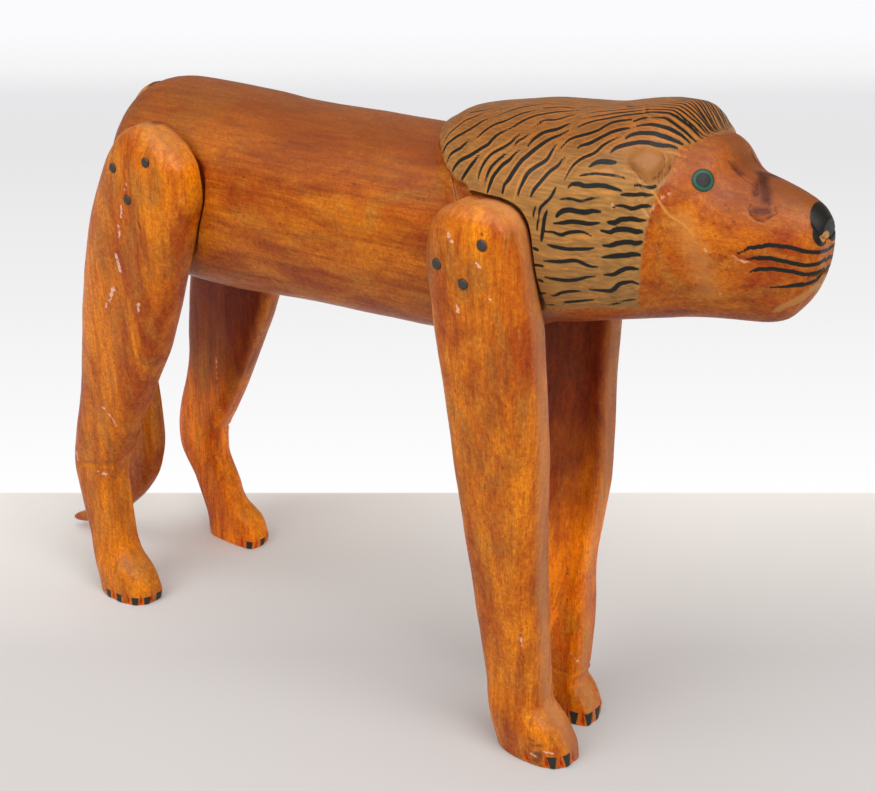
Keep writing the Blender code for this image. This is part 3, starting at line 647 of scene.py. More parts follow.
log_marks["ear"] = np.minimum(outline_marks(unrolled, EAR_OUTLINE), MARK_REACH)
ear_crease = line_marks(unrolled / 1000, [(np.array(line) / 1000, [EAR_CREASE_HALF] * len(line))
                                          for line in EAR_CREASES])
ear_relief = np.where(log_turns > 0.5, EAR_RELIEF[1], EAR_RELIEF[-1])
relief += (fade(-log_marks["ear"], -1.0, 6.0) * ear_relief
           - EAR_CREASE_DEPTH * (1 - fade(ear_crease, 0.0, 2.0)))
# the ear's creases take the dark colour of the cracks too: painted shade in the creases
log_marks["crack"] = np.minimum(log_marks["crack"], ear_crease + 0.1)

carve(log_net, relief)
log_carving = finish_piece("log_carving", log_net, log_marks)


def join_nets(nets):
    """One net out of several closed ones."""
    whole = bmesh.new()
    for net in nets:
        part = bpy.data.meshes.new("part")
        net.to_mesh(part)
        net.free()
        whole.from_mesh(part)
        bpy.data.meshes.remove(part)
    return whole


# How far from a cut its new points look for the marks of old ones, and how sharp an edge stays sharp
MARKS_NEARBY = 0.003
SHARP_ANGLE = math.radians(50)


def cut_away(piece, cutter_net):
    """Cut a closed shape out of a finished piece; its marks carry on over the cut's edges."""
    before = piece.data
    kept = before.attributes.new("kept", "FLOAT", "POINT")
    kept.data.foreach_set("value", np.ones(len(before.vertices), np.float32))
    cutter = finish_piece("cutter", cutter_net, {})
    cutter_mesh = cutter.data
    cut = piece.modifiers.new("cut", "BOOLEAN")
    cut.operation, cut.solver, cut.object = "DIFFERENCE", "MANIFOLD", cutter
    after = bpy.data.meshes.new_from_object(piece.evaluated_get(bpy.context.evaluated_depsgraph_get()))
    piece.modifiers.clear()
    piece.data = after
    bpy.data.objects.remove(cutter)
    bpy.data.meshes.remove(cutter_mesh)
    flags = np.zeros(len(after.vertices), np.float32)
    after.attributes["kept"].data.foreach_get("value", flags)
    fresh = np.flatnonzero(flags < 0.5)
    places = np.zeros((len(after.vertices), 3), np.float32)
    after.vertices.foreach_get("co", places.ravel())
    old = np.flatnonzero(flags >= 0.5)
    near = fresh[:0]
    if len(fresh):
        low, high = places[fresh].min(0) - MARKS_NEARBY, places[fresh].max(0) + MARKS_NEARBY
        old = old[((places[old] > low) & (places[old] < high)).all(1)]
        tree = kdtree.KDTree(len(old))
        for number, place in zip(old, places[old]):
            tree.insert(place, int(number))
        tree.balance()
        near = np.array([tree.find(place)[1] for place in places[fresh]])
    after.attributes.remove(after.attributes["kept"])
    for mark in after.attributes:
        if mark.data_type == "FLOAT" and mark.domain == "POINT" and len(fresh):
            values = np.zeros(len(after.vertices), np.float32)
            mark.data.foreach_get("value", values)
            values[fresh] = values[near]
            mark.data.foreach_set("value", values)
    after.shade_smooth()
    after.set_sharp_from_angle(angle=SHARP_ANGLE)
    bpy.data.meshes.remove(before)


def linear(code):
    """An sRGB hex colour as linear red, green, blue and alpha."""
    parts = [int(code[place:place + 2], 16) / 255 for place in (1, 3, 5)]
    return [part / 12.92 if part <= 0.04045 else ((part + 0.055) / 1.055) ** 2.4 for part in parts] + [1.0]


def fill_inputs(tree, node, inputs):
    """Give inputs of a node their values or links."""
    for name, value in inputs.items():
        if isinstance(value, bpy.types.NodeSocket):
            tree.links.new(value, node.inputs[name])
        else:
            node.inputs[name].default_value = value


def add_node(tree, kind, settings=None, inputs=None):
    """Add a node with its settings, and with values or links for its inputs."""
    node = tree.nodes.new(kind)
    for name, value in (settings or {}).items():
        setattr(node, name, value)
    fill_inputs(tree, node, inputs or {})
    return node


MIX = {"data_type": "RGBA"}
TINT = {"data_type": "RGBA", "blend_type": "MULTIPLY"}


def new_material(name):
    """A material with its tree of nodes, its shader and the places on the object that wears it."""
    material = bpy.data.materials.new(name)
    material.use_nodes = True
    tree = material.node_tree
    place = add_node(tree, "ShaderNodeTexCoord").outputs["Object"]
    return material, tree, tree.nodes["Principled BSDF"], place


def stretched(tree, place, scale):
    """Places with each axis multiplied by its own scale."""
    return add_node(tree, "ShaderNodeMapping", inputs={"Vector": place, "Scale": scale}).outputs[0]


def cloudy(tree, place, size, detail, roughness=0.5, distortion=0.0):
    """A node of smooth noise whose patches are about a size in metres."""
    return add_node(tree, "ShaderNodeTexNoise", inputs={
        "Vector": place, "Scale": 1 / size, "Detail": detail, "Roughness": roughness,
        "Distortion": distortion})


def ramp_of(tree, value, low, high, first=0.0, last=1.0):
    """The first result where a value is low, the last where it is high, and even steps between them."""
    return add_node(tree, "ShaderNodeMapRange", inputs={
        "Value": value, "From Min": low, "From Max": high, "To Min": first, "To Max": last}).outputs[0]


def sum_of(tree, value, times, more):
    """A value multiplied and added to another."""
    return add_node(tree, "ShaderNodeMath", {"operation": "MULTIPLY_ADD"}, {
        0: value, 1: times, 2: more}).outputs[0]


def lay(tree, kind, share, below, above):
    """A colour laid over one below it by a share, or multiplied with it where the kind is TINT."""
    return add_node(tree, "ShaderNodeMix", kind, {0: share, 6: below, 7: above}).outputs[2]


def varnished_wood(name, grain, deep, light):
    """Wood under uneven orange-brown stain and satin varnish; grain is its stretch along X, Y and Z.

    Brushed stain gives the eye warm clouds of orange and brown along the grain, and old satin varnish a
    low broken sheen; the faces that look up are darkened with painted shade.
    """
    material, tree, shader, place = new_material(name)
    drawn = stretched(tree, place, grain)
    # the stain took unevenly, in patches about 50 mm across drawn out along the grain
    patches = cloudy(tree, drawn, 0.050, detail=5.0, roughness=0.62, distortion=0.8).outputs[0]
    stain = lay(tree, MIX, ramp_of(tree, patches, 0.38, 0.60), linear(deep), linear(light))
    # redder stain pooled in places about 35 mm apart, and rubbed pale in others
    pools = cloudy(tree, drawn, 0.035, detail=3.0, roughness=0.6, distortion=1.5).outputs[1]
    parts = add_node(tree, "ShaderNodeSeparateColor", inputs={0: pools}).outputs
    pooled = ramp_of(tree, parts[0], 0.5, 0.68, last=0.4)
    rubbed = ramp_of(tree, parts[1], 0.5, 0.68, last=0.65)
    stain = lay(tree, MIX, pooled, stain, linear("#ac3c04"))
    stain = lay(tree, MIX, rubbed, stain, linear("#c28a36"))
    # mottling of the varnish over the pores, about 3 mm apart
    mottle = cloudy(tree, place, 0.003, detail=4.0, roughness=0.65).outputs[0]
    wood = lay(tree, TINT, ramp_of(tree, mottle, 0.3, 0.7, first=0.1), stain, linear("#d8b27e"))
    # fine scratches and crazing of the varnish, wandering lines about 5 mm apart
    crazing = cloudy(tree, place, 0.005, detail=3.0, roughness=0.7, distortion=1.5).outputs[0]
    from_line = add_node(tree, "ShaderNodeMath", {"operation": "COMPARE"}, {
        0: crazing, 1: 0.5, 2: 0.012}).outputs[0]
    line_share = add_node(tree, "ShaderNodeMath", {"operation": "MULTIPLY"}, {
        0: from_line, 1: parts[2]}).outputs[0]
    wood = lay(tree, TINT, line_share, wood, linear("#a8744e"))
    # fibres about 1 mm apart and 25 mm long
    fibre_place = stretched(tree, place, [1 / 0.001 if stretch == 1 else 1 / 0.025 for stretch in grain])
    fibres = cloudy(tree, fibre_place, 1.0, detail=3.0, roughness=0.6, distortion=0.3).outputs[0]
    wood = lay(tree, TINT, ramp_of(tree, fibres, 0.42, 0.78, last=0.55), wood, linear("#9a6a4c"))
    # bands of earlier and later wood about 5 mm wide that run 70 mm along the grain
    band_place = stretched(tree, place, [1 / 0.005 if stretch == 1 else 1 / 0.070 for stretch in grain])
    bands = cloudy(tree, band_place, 1.0, detail=2.0, distortion=0.2).outputs[0]
    wood = lay(tree, TINT, ramp_of(tree, bands, 0.45, 0.68, last=0.45), wood, linear("#b07a4a"))
    # open pores and specks of dirt under the varnish, about one in each 9 mm
    speck_place = stretched(tree, place, [1.0 if stretch == 1 else 0.45 for stretch in grain])
    specks = add_node(tree, "ShaderNodeTexVoronoi", inputs={"Vector": speck_place, "Scale": 1 / 0.009})
    speck_share = ramp_of(tree, specks.outputs["Distance"], 0.035, 0.085, first=0.75, last=0.0)
    wood = lay(tree, MIX, speck_share, wood, linear("#3f1c0c"))
    # painted shade darkens the faces that look up
    facing = add_node(tree, "ShaderNodeNewGeometry").outputs["Normal"]
    up = add_node(tree, "ShaderNodeSeparateXYZ", inputs={0: facing}).outputs[2]
    wood = lay(tree, MIX, ramp_of(tree, up, 0.25, 0.95, last=0.5), wood, linear("#9c6c3c"))
    bump = add_node(tree, "ShaderNodeBump", inputs={
        "Height": sum_of(tree, mottle, 1.5, fibres), "Strength": 0.35, "Distance": 0.0003}).outputs[0]
    fill_inputs(tree, shader, {
        "Base Color": wood, "Normal": bump, "Roughness": ramp_of(tree, mottle, 0.3, 0.7, 0.36, 0.52),
        "IOR": 1.5, "Specular IOR Level": 0.2, "Coat Weight": 0.04, "Coat Roughness": 0.18})
    return material, wood


def paint_over(material, colour, paints):
    """Lay each paint where its mark reads less than its reach, with an edge that wavers as a brush does.

    A paint is its mark, reach, way of mixing, colour, softness and wavering of its edge, and cover.
    """
    tree = material.node_tree
    place = add_node(tree, "ShaderNodeTexCoord").outputs["Object"]
    # the brush wavers every 3 mm
    waver = cloudy(tree, place, 0.003, detail=2.0).outputs[0]
    for mark, reach, kind, paint, soft, wobble, cover in paints:
        gap = add_node(tree, "ShaderNodeAttribute", {"attribute_name": mark}).outputs["Fac"]
        moved = sum_of(tree, waver, wobble, gap)
        edge = reach + wobble / 2
        colour = lay(tree, kind, ramp_of(tree, moved, edge - soft, edge + soft, cover, 0.0), colour, paint)
    fill_inputs(tree, tree.nodes["Principled BSDF"], {"Base Color": colour})


log_wood, log_colour = varnished_wood("stained_varnished_log_wood", (0.4, 1, 1), "#a84c04", "#da8410")
# the mane's tan paint was brushed along the log, in streaks 2 mm apart
tree = log_wood.node_tree
place = add_node(tree, "ShaderNodeTexCoord").outputs["Object"]
brushing = cloudy(tree, stretched(tree, place, (1 / 0.020, 1 / 0.002, 1 / 0.002)), 1.0, detail=3.0).outputs[0]
tan = lay(tree, MIX, ramp_of(tree, brushing, 0.35, 0.65), linear("#8a6233"), linear("#ab7b3f"))
paint_over(log_wood, log_colour, [
    ("cheek", 0.0, MIX, linear("#b87c40"), 5.0, 4.0, 0.45),
    # darker brown along the top of the brow and the muzzle
    ("darker_top", 0.0, MIX, linear("#86522c"), 3.0, 3.0, 0.6),
    ("stain", 0.0, TINT, linear("#7c4640"), 2.0, 4.0, 0.85),
    ("jaw", 0.0, MIX, linear("#c08a4c"), 1.0, 1.0, 0.6),
    # painted shade, nearly black, in the hollow under the tail
    ("seat", 0.0, MIX, linear("#2e1409"), 1.5, 1.5, 0.9),
    ("tan", 0.0, MIX, tan, 0.6, 1.0, 0.96),
    ("shade", 0.0, MIX, linear("#80572e"), 0.5, 1.2, 0.7),
    ("streak", 0.0, MIX, linear("#ca883f"), 0.6, 1.5, 0.75),
    ("ear", 0.0, MIX, linear("#a06a38"), 2.0, 1.5, 0.8),
    ("chip", 0.0, MIX, linear("#dfa67e"), 0.5, 3.0, 0.6),
    ("knot", 0.0, MIX, linear("#55301a"), 0.9, 1.5, 0.8),
    # dark cracks in the wood, and painted shade in the ear's creases
    ("crack", 0.0, MIX, linear("#52240f"), 0.4, 1.8, 0.75),
    ("black", 0.0, MIX, linear("#171815"), 0.25, 0.5, 1.0),
    ("nostril", 0.0, MIX, linear("#b98544"), 0.3, 0.3, 1.0),
    ("nostril", -2.0, MIX, linear("#94500f"), 0.5, 0.3, 0.7),
    # painted shade: all that faces up is tinted darker and greyer
    ("top_shade", 0.0, TINT, linear("#cdb494"), 9.0, 2.0, 1.0),
    ("eye", EYE_RADIUS, MIX, linear("#12211a"), 0.3, 0.4, 1.0),
    ("eye", IRIS_RADIUS, MIX, linear("#255340"), 0.5, 0.5, 1.0),
    ("eye", PUPIL_RADIUS, MIX, linear("#16181a"), 0.3, 0.4, 1.0),
])
log_carving.data.materials.append(log_wood)
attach(log_carving, "root")
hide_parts("body_with_head")

# Mouth: one straight cut across the tip of the log, a wedge that opens towards the lips
MOUTH_DEPTH = 0.0052
MOUTH_WIDTH = 0.0038
MOUTH_HEIGHT_SHARE = 0.14
mouth_net = bmesh.new()
mouth_corners = [(-MOUTH_DEPTH, 0.0), (MOUTH_DEPTH, MOUTH_WIDTH), (MOUTH_DEPTH, -MOUTH_WIDTH)]
wedge = mouth_net.faces.new([mouth_net.verts.new((RUMP_END + LOG_LENGTH + x, MIDDLE - LOG_WIDTH / 2, z))
                             for x, z in mouth_corners])
swept = bmesh.ops.extrude_face_region(mouth_net, geom=[wedge])
bmesh.ops.translate(mouth_net, verts=[v for v in swept["geom"] if isinstance(v, bmesh.types.BMVert)],
                    vec=(0, LOG_WIDTH, 0))
bmesh.ops.translate(mouth_net, verts=mouth_net.verts,
                    vec=(0, 0, LOG_AXIS_HEIGHT + MOUTH_HEIGHT_SHARE * LOG_HEIGHT))
bmesh.ops.recalc_face_normals(mouth_net, faces=mouth_net.faces)
cut_away(log_carving, mouth_net)

# Legs
# Each leg is one board with a carved foot, flat and rough on its inner face and rounded outside, let into a
# shallow housing in the log's side. The feet are notched into toes, and the claws are flats painted black.
SEAT_WIDTH = 0.124
HOUSING_GAP = 0.0029
SOLE_EDGE = 0.0012
LEG_SECTIONS = 700
LEG_NET = 0.0048
HOUSING_SECTIONS = 300
HOUSING_NET = 0.0035
LEG_INNER_SHARE = 0.4
LEG_EDGE_POWER = 0.62
FOOT_EDGE_POWER = 0.85
FOOT_SHARE = 0.12
LEG_OUTER_POWER = 0.75
LEG_INNER_POWER = 0.35
LEFT_LEGS_LOWER = 0.010
# As shares: rear and front edges and girth up the leg, the left leg's drop and its shift along the log
LEG_PAIRS = {
    "front": {
        "height": 0.450, "thickness": 0.036, "apart": 0.063, "left_foot_out": 0.0, "left_drop": 0.33,
        "rear": [(0, 0.652), (0.05, 0.646), (0.12, 0.641), (0.33, 0.629), (0.53, 0.617), (0.66, 0.612),
                 (0.78, 0.605), (0.9, 0.601), (0.95, 0.608), (0.98, 0.621), (1, 0.645)],
        "front": [(0, 0.757), (0.03, 0.756), (0.07, 0.744), (0.115, 0.72), (0.36, 0.723), (0.66, 0.735),
                  (0.8, 0.735), (0.86, 0.729), (0.93, 0.724), (0.965, 0.719), (0.985, 0.71),
                  (0.996, 0.697), (1, 0.68)],
        "girth": [(0, 1.04), (0.06, 1.08), (0.14, 0.92), (0.35, 0.95), (0.8, 1.05), (0.93, 1.02),
                  (0.98, 0.9), (1, 0.7)],
        "left_shift": [(0, -0.027), (0.08, -0.028), (0.12, -0.012), (0.2, -0.012), (0.4, -0.023),
                       (0.5, -0.022), (0.72, -0.036), (1, -0.041)],
    },
    "hind": {
        "height": 0.457, "thickness": 0.034, "apart": 0.121, "left_foot_out": 0.023, "left_drop": 0.13,
        "rear": [(0, -0.041), (0.05, -0.045), (0.15, -0.061), (0.26, -0.069), (0.47, -0.028),
                 (0.63, -0.003), (0.82, 0.04), (0.91, 0.074), (0.955, 0.095), (0.985, 0.116), (1, 0.14)],
        "front": [(0, 0.056), (0.02, 0.059), (0.06, 0.049), (0.1, 0.021), (0.13, 0.015), (0.26, 0.013),
                  (0.34, 0.038), (0.48, 0.096), (0.585, 0.141), (0.72, 0.183), (0.81, 0.208),
                  (0.89, 0.226), (0.935, 0.223), (0.965, 0.209), (0.985, 0.19), (1, 0.166)],
        "girth": [(0, 1.05), (0.05, 1.05), (0.13, 0.84), (0.27, 0.9), (0.5, 1), (0.8, 1.1), (0.93, 1.05),
                  (0.98, 0.88), (1, 0.68)],
        "left_shift": [(0, 0.002), (0.1, 0.003), (0.14, 0), (0.235, -0.023), (0.37, -0.023),
                       (0.56, -0.038), (0.7, -0.044), (1, -0.044)],
    },
}
# Claws and the notches between toes, as turns round the foot from the middle of its inner face; a claw is
# a flat from its lower to its upper edge, with a half width at each, all in millimetres
FEET = {
    "front_right": {"claws": [0.15, 0.283, 0.352], "notches": [0.182, 0.242, 0.312, 0.378, 0.472],
                    "claw": (0.3, 12.5, 1.7, 3.9)},
    "front_left": {"claws": [0.124, 0.196, 0.258, 0.33, 0.40], "notches": [0.086, 0.162, 0.223, 0.295, 0.365],
                   "claw": (0.3, 11.0, 1.7, 4.2)},
    "hind_right": {"claws": [0.218, 0.295, 0.362, 0.466, 0.549], "notches": [0.265, 0.330, 0.407, 0.513],
                   "claw": (0.3, 9.0, 2.6, 3.5)},
    "hind_left": {"claws": [0.157, 0.25, 0.33, 0.4, 0.465], "notches": [0.106, 0.203, 0.29, 0.365, 0.435],
                  "claw": (0.3, 9.0, 2.6, 3.5)},
}
# Depths and sizes of the notches and claws, and depths of the cuts across the legs and of the broken toe
NOTCH_DEPTH = 0.0028
NOTCH_HALF = 1.9
NOTCH_HEIGHT = 15.0
CLAW_RELIEF = 0.0005
CREASE_DEPTH = {"front": 0.0009, "hind": 0.0018}
SCAR_DEPTH = 0.0008
# The inner faces are darker, rough wood and painted shade under the body, above this height in millimetres,
# over this share of the girth each way from their middle, and the lower edge of the dark is this many times
# softer than its sides
INNER_DARK_ABOVE = 200
INNER_SHARE = 0.19
INNER_FADE = 15
# The paler strip down the front edge of the front legs, as its turn round the leg and half width in
# millimetres; a half width far below zero leaves it out
STRIP_TURN = 0.235
STRIP_HALF = {"front": 7.0, "hind": -90.0}
# Painted light low on the left legs, brighter orange where they catch the light, as the middle and half of
# its height in millimetres; elsewhere every point is this far from it
PAINTED_LOW_LIGHT = {"front_left": (115, 70), "hind_left": (55, 110)}
NO_PAINTED_LOW_LIGHT = 99.0
# The wood is darker this far round each nail's head, which lies this far out from the nail's middle
NAIL_HALO_RADIUS = 5.5
NAIL_HEAD_OUT = 0.012
# Cuts, dark marks and pale marks of each leg, as millimetres forward of the rump and above the floor
LEG_WEAR = {
    "front_right": {
        "creases": [([(455, 8), (452, 16), (458, 24)], 0.8), ([(463, 6), (462, 15)], 0.8)],
        "dark": [([(436, 435), (437, 434)], 1.0), ([(444, 357), (444, 356)], 0.9),
                 ([(414, 316), (414, 315)], 0.8), ([(453, 27), (457, 24)], 0.4),
                 ([(428, 250), (425, 236)], 0.5), ([(438, 190), (434, 160)], 0.35)],
        "scar": [([(458, 5), (460, 12)], 3.0), ([(456, 19), (463, 22)], 1.0)],
        "pale": [([(454.5, 11), (457, 9)], 1.1), ([(424, 386), (424, 385)], 0.8),
                 ([(441, 391), (442, 390)], 0.7), ([(432, 415), (436, 411)], 0.9),
                 ([(409, 431), (414, 424)], 0.9), ([(466, 17), (471, 16)], 0.5),
                 ([(446, 120), (447, 108)], 0.7), ([(414, 380), (416, 374)], 0.5)],
    },
    "front_left": {
        "creases": [([(424, 42), (440, 41), (452, 44)], 0.7)],
        "dark": [([(433, 260), (430, 259)], 0.7), ([(420, 90), (430, 130)], 0.35)],
        "pale": [([(438, 60), (446, 54)], 0.5)],
    },
    "hind_right": {
        "creases": [([(-27, 131), (-4, 137), (10, 138)], 0.8)],
        "dark": [([(113, 406), (114, 405)], 0.7), ([(89, 331), (90, 328)], 0.6),
                 ([(98, 384), (101, 378)], 0.8), ([(84, 415), (81, 407), (86, 403)], 0.4)],
        "pale": [([(89, 413), (87, 407)], 0.5), ([(81, 394), (79, 384)], 1.0), ([(75, 375), (74, 366)], 1.3),
                 ([(67, 350), (70, 335)], 1.5), ([(58, 319), (51, 306)], 1.6), ([(47, 303), (44, 297)], 0.8),
                 ([(19, 202), (29, 191), (32, 181)], 0.45), ([(-2, 130), (6, 127)], 0.9),
                 ([(-30, 140), (-30, 134)], 0.9), ([(86, 312), (84, 304)], 0.9), ([(20, 48), (22, 47)], 0.5)],
    },
    "hind_left": {
        "creases": [([(-25, 114), (0, 117), (12, 115)], 0.7)],
        "dark": [([(0, 200), (4, 190)], 0.4)],
        "pale": [([(6, 198), (5, 160), (5, 140)], 0.35)],
    },
}


def leg_height(pair, side):
    """A leg's height; the left ones are let in lower."""
    return LEG_PAIRS[pair]["height"] - (LEFT_LEGS_LOWER if side > 0 else 0.0)


def leg_section(pair, side, share, grow=0.0):
    """Points round a leg, from the middle of its inner face over its front, outer face and rear."""
    shape = LEG_PAIRS[pair]
    up = min(1.0, max(0.0, share))
    height = leg_height(pair, side)
    left = side > 0
    place = up * (1 + (shape["left_drop"] if left else 0.0) * (1 - up))
    shift = smooth_line(shape["left_shift"], place) if left else 0.0
    rear = (smooth_line(shape["rear"], place) + shift) * LOG_LENGTH
    front = (smooth_line(shape["front"], place) + shift) * LOG_LENGTH
    thickness = smooth_line(shape["girth"], place) * shape["thickness"]
    foot = (shape["apart"] - shape["thickness"]) / 2 + (shape["left_foot_out"] if left else 0.0)
    inner = foot + (SEAT_WIDTH / 2 - foot) * up * height / LOG_AXIS_HEIGHT
    edge_power = LEG_EDGE_POWER + (FOOT_EDGE_POWER - LEG_EDGE_POWER) * max(0.0, 1 - up / FOOT_SHARE)
    size = grow - fillet(up * height, SOLE_EDGE)
    angle = np.linspace(-0.5, 1.5, ROUND_POINTS + 1) * math.pi
    across, out = np.cos(angle), np.sin(angle)
    x = (rear + front) / 2 + power(across, edge_power) * ((front - rear) / 2 + size)
    outer = (thickness * (1 - LEG_INNER_SHARE) + size) * power(np.maximum(out, 0), LEG_OUTER_POWER)
    within = (thickness * LEG_INNER_SHARE + size) * power(np.minimum(out, 0), LEG_INNER_POWER)
    y = side * (inner + thickness * LEG_INNER_SHARE + outer + within)
    z = np.full(len(x), up * height + (size if share > 0.5 else 0.0))
    return closed_end(np.column_stack((RUMP_END + x, MIDDLE + y, z)), share)


def whole_leg(shares, turns):
    """All of a leg, whose net is halved once before its foot's."""
    return shares > -1


def foot_area(shares, turns):
    """The foot, up to a tenth of the leg."""
    return shares < 0.1


def toe_area(shares, turns):
    """The toes, across the front and outside of the foot."""
    return (shares < 0.06) & (np.abs(turns - 0.3) < 0.29)


def flat_marks(flat, groups):
    """Distance on a leg's side view to lines of spots in millimetres."""
    return line_marks(flat, [(np.array(spots) / 1000, [half] * len(spots)) for spots, half in groups])


# the painted light multiplies by more than white, which a hex colour can't say
leg_wood, leg_colour = varnished_wood("stained_varnished_leg_wood", (1, 1, 0.4), "#c05e04", "#fb9e10")
paint_over(leg_wood, leg_colour, [
    # painted light: the lower left legs made brighter, where they catch the lamps
    ("painted_low_light", 0.0, TINT, [1.6, 1.5, 0.5, 1.0], 35.0, 10.0, 1.0),
    # rough darker wood and painted shade under the body on the inner faces
    ("inner", 0.0, TINT, linear("#a05a30"), 4.0, 3.0, 0.85),
    ("strip", 0.0, MIX, linear("#b98256"), 4.0, 3.0, 0.45),
    ("nail", 0.0, TINT, linear("#7a4a38"), 1.3, 1.5, 0.8),
    ("notch", 0.0, MIX, linear("#cc4408"), 0.9, 0.8, 0.85),
    ("scar", 0.0, MIX, linear("#75401f"), 1.2, 5.0, 0.85),
    ("pale", 0.0, MIX, linear("#ecc5b4"), 0.5, 5.0, 0.75),
    ("dark", 0.0, MIX, linear("#4a2211"), 0.5, 1.0, 0.85),
    ("claw", 0.0, MIX, linear("#2b2c29"), 0.3, 0.4, 1.0),
])
legs = {}
housings = []
for pair in ("front", "hind"):
    for side in (-1, 1):
        name = f"{pair}_{'right' if side < 0 else 'left'}"
        foot, wear = FEET[name], LEG_WEAR[name]
        leg_skin = make_skin(lambda share: leg_section(pair, side, share), LEG_SECTIONS)
        leg_net = wrapped_net(leg_skin, LEG_NET, [whole_leg, foot_area, toe_area])
        shares, turns, places, _ = net_places(leg_net)
        girth = np.interp(shares, leg_skin["shares"], leg_skin["girth"]) * 1000
        up = places[:, 2] * 1000
        flat = np.column_stack((places[:, 0] - RUMP_END, places[:, 2]))
        low, high, low_half, high_half = foot["claw"]
        claw_half = np.interp(up, [low, high], [low_half, high_half])
        past_ends = np.abs(up - (low + high) / 2) - (high - low) / 2
        claw = np.full(len(places), MARK_REACH)
        for turn in foot["claws"]:
            claw = np.minimum(claw, np.maximum(np.abs(turns - turn) * girth - claw_half, past_ends))
        notch_half = NOTCH_HALF * np.maximum(0.0, 1 - up / NOTCH_HEIGHT)
        notch = np.full(len(places), MARK_REACH)
        for turn in foot["notches"]:
            aside = np.where(notch_half > 0, np.abs(turns - turn) * girth - notch_half, MARK_REACH)
            notch = np.minimum(notch, aside)
        crease = flat_marks(flat, wear["creases"])
        from_inner = np.minimum(turns, 1 - turns) * girth
        halos = []
        for number in (1, 2, 3):
            nail_low, nail_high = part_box(f"nail_{name}_{number}")
            centre = nail_low * 0.5 + nail_high * 0.5 + Vector((0, side * NAIL_HEAD_OUT, 0))
            halos.append(ball_marks(places, centre, NAIL_HALO_RADIUS))
        if name in PAINTED_LOW_LIGHT:
            painted_low_light = np.abs(up - PAINTED_LOW_LIGHT[name][0]) - PAINTED_LOW_LIGHT[name][1]
        else:
            painted_low_light = np.full(len(up), NO_PAINTED_LOW_LIGHT)
        marks = {
            "claw": claw, "notch": notch, "dark": flat_marks(flat, wear["dark"]),
            "pale": flat_marks(flat, wear["pale"]), "scar": flat_marks(flat, wear.get("scar", [])),
            "inner": np.maximum(from_inner - girth * INNER_SHARE, (INNER_DARK_ABOVE - up) / INNER_FADE),
            "strip": np.abs(turns - STRIP_TURN) * girth - STRIP_HALF[pair],
            "painted_low_light": painted_low_light, "nail": np.min(halos, axis=0),
        }
        relief = knife_marks(places, FACET_DEPTH, DENT_DEPTH)
        relief -= NOTCH_DEPTH * (1 - fade(notch, -NOTCH_HALF, 1.0)) * np.clip(1.3 - up / NOTCH_HEIGHT, 0, 1)
        relief += CLAW_RELIEF * (1 - fade(claw, -0.4, 0.5))
        relief -= (CREASE_DEPTH[pair] * (1 - fade(crease, -0.8, 2.2))
                   + SCAR_DEPTH * (1 - fade(marks["scar"], -2.0, 1.0)))
        relief *= fade(up, 0.0, 1.5)
        carve(leg_net, relief)
        leg = finish_piece("carved_leg_" + name, leg_net, marks)
        leg.data.materials.append(leg_wood)
        legs[name] = leg
        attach(leg, "root")
        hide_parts("leg_" + name)
        housing_skin = make_skin(lambda share: leg_section(pair, side, share, HOUSING_GAP), HOUSING_SECTIONS)
        housings.append(wrapped_net(housing_skin, HOUSING_NET, []))
cut_away(log_carving, join_nets(housings))

# Tail
# One carved strip, flat against the rump under its nail, that hangs clear of it, thickens into a tuft and
# runs out to a point between the hocks.
TAIL_WIDTH = 0.024
TAIL_THICKNESS = 0.0115
TUFT_THICKNESS = 0.040
TAIL_CLEARANCE = 0.0004
TAIL_NAIL_SHARE = 0.0066
# The tail's middle line with its size at each point: the root by shares of the log's length, and the rest by
# distance behind the rump and height, as shares of the nail's height
TAIL_ROOT = [(0.038, 0.35), (0.026, 0.6), (0.015, 0.75), (TAIL_NAIL_SHARE, 0.85), (0.0015, 0.85)]
TAIL_LINE = [(0, 0.963, 0.85), (0, 0.935, 0.85), (0.006, 0.86, 0.95), (0.028, 0.71, 1), (0.042, 0.557, 1),
             (0.044, 0.443, 1), (0.043, 0.375, 1), (0.045, 0.304, 0.98), (0.056, 0.243, 0.88),
             (0.085, 0.187, 0.74), (0.126, 0.137, 0.58), (0.182, 0.084, 0.42), (0.258, 0.043, 0.3),
             (0.299, 0.028, 0.18), (0.311, 0.024, 0.08)]
TUFT_START_SHARE = 0.4
TUFT_FADE_SHARE = 0.2
TAIL_POWER = 0.7
SMALL_STEP = 0.001
TAIL_SECTIONS = 500
TAIL_NET = 0.0024
# The tail was cut with shallower facets than the log, and its ends were left smooth
TAIL_FACETS = 0.6
TAIL_SMOOTH_SHARE = 0.03
# Millimetres of paler wood at its root, and of dark end grain at its top
PALE_ROOT = 50.0
DARK_END = 4.0


def rump_spot(share):
    """A point of the rump's top middle line, as distance along and height, and the way the wood faces."""
    def top(place):
        x = place * LOG_LENGTH
        draw = fillet(x, RUMP_ROUNDING)
        high, low = smooth_line(LOG_TOP, place) * LOG_HEIGHT, smooth_line(LOG_BOTTOM, place) * LOG_HEIGHT
        return np.array((x, LOG_AXIS_HEIGHT + (high + low) / 2 + (high - low) / 2 - draw))
    along = top(share + SMALL_STEP) - top(share)
    along /= np.linalg.norm(along)
    return top(share), np.array((-along[1], along[0]))


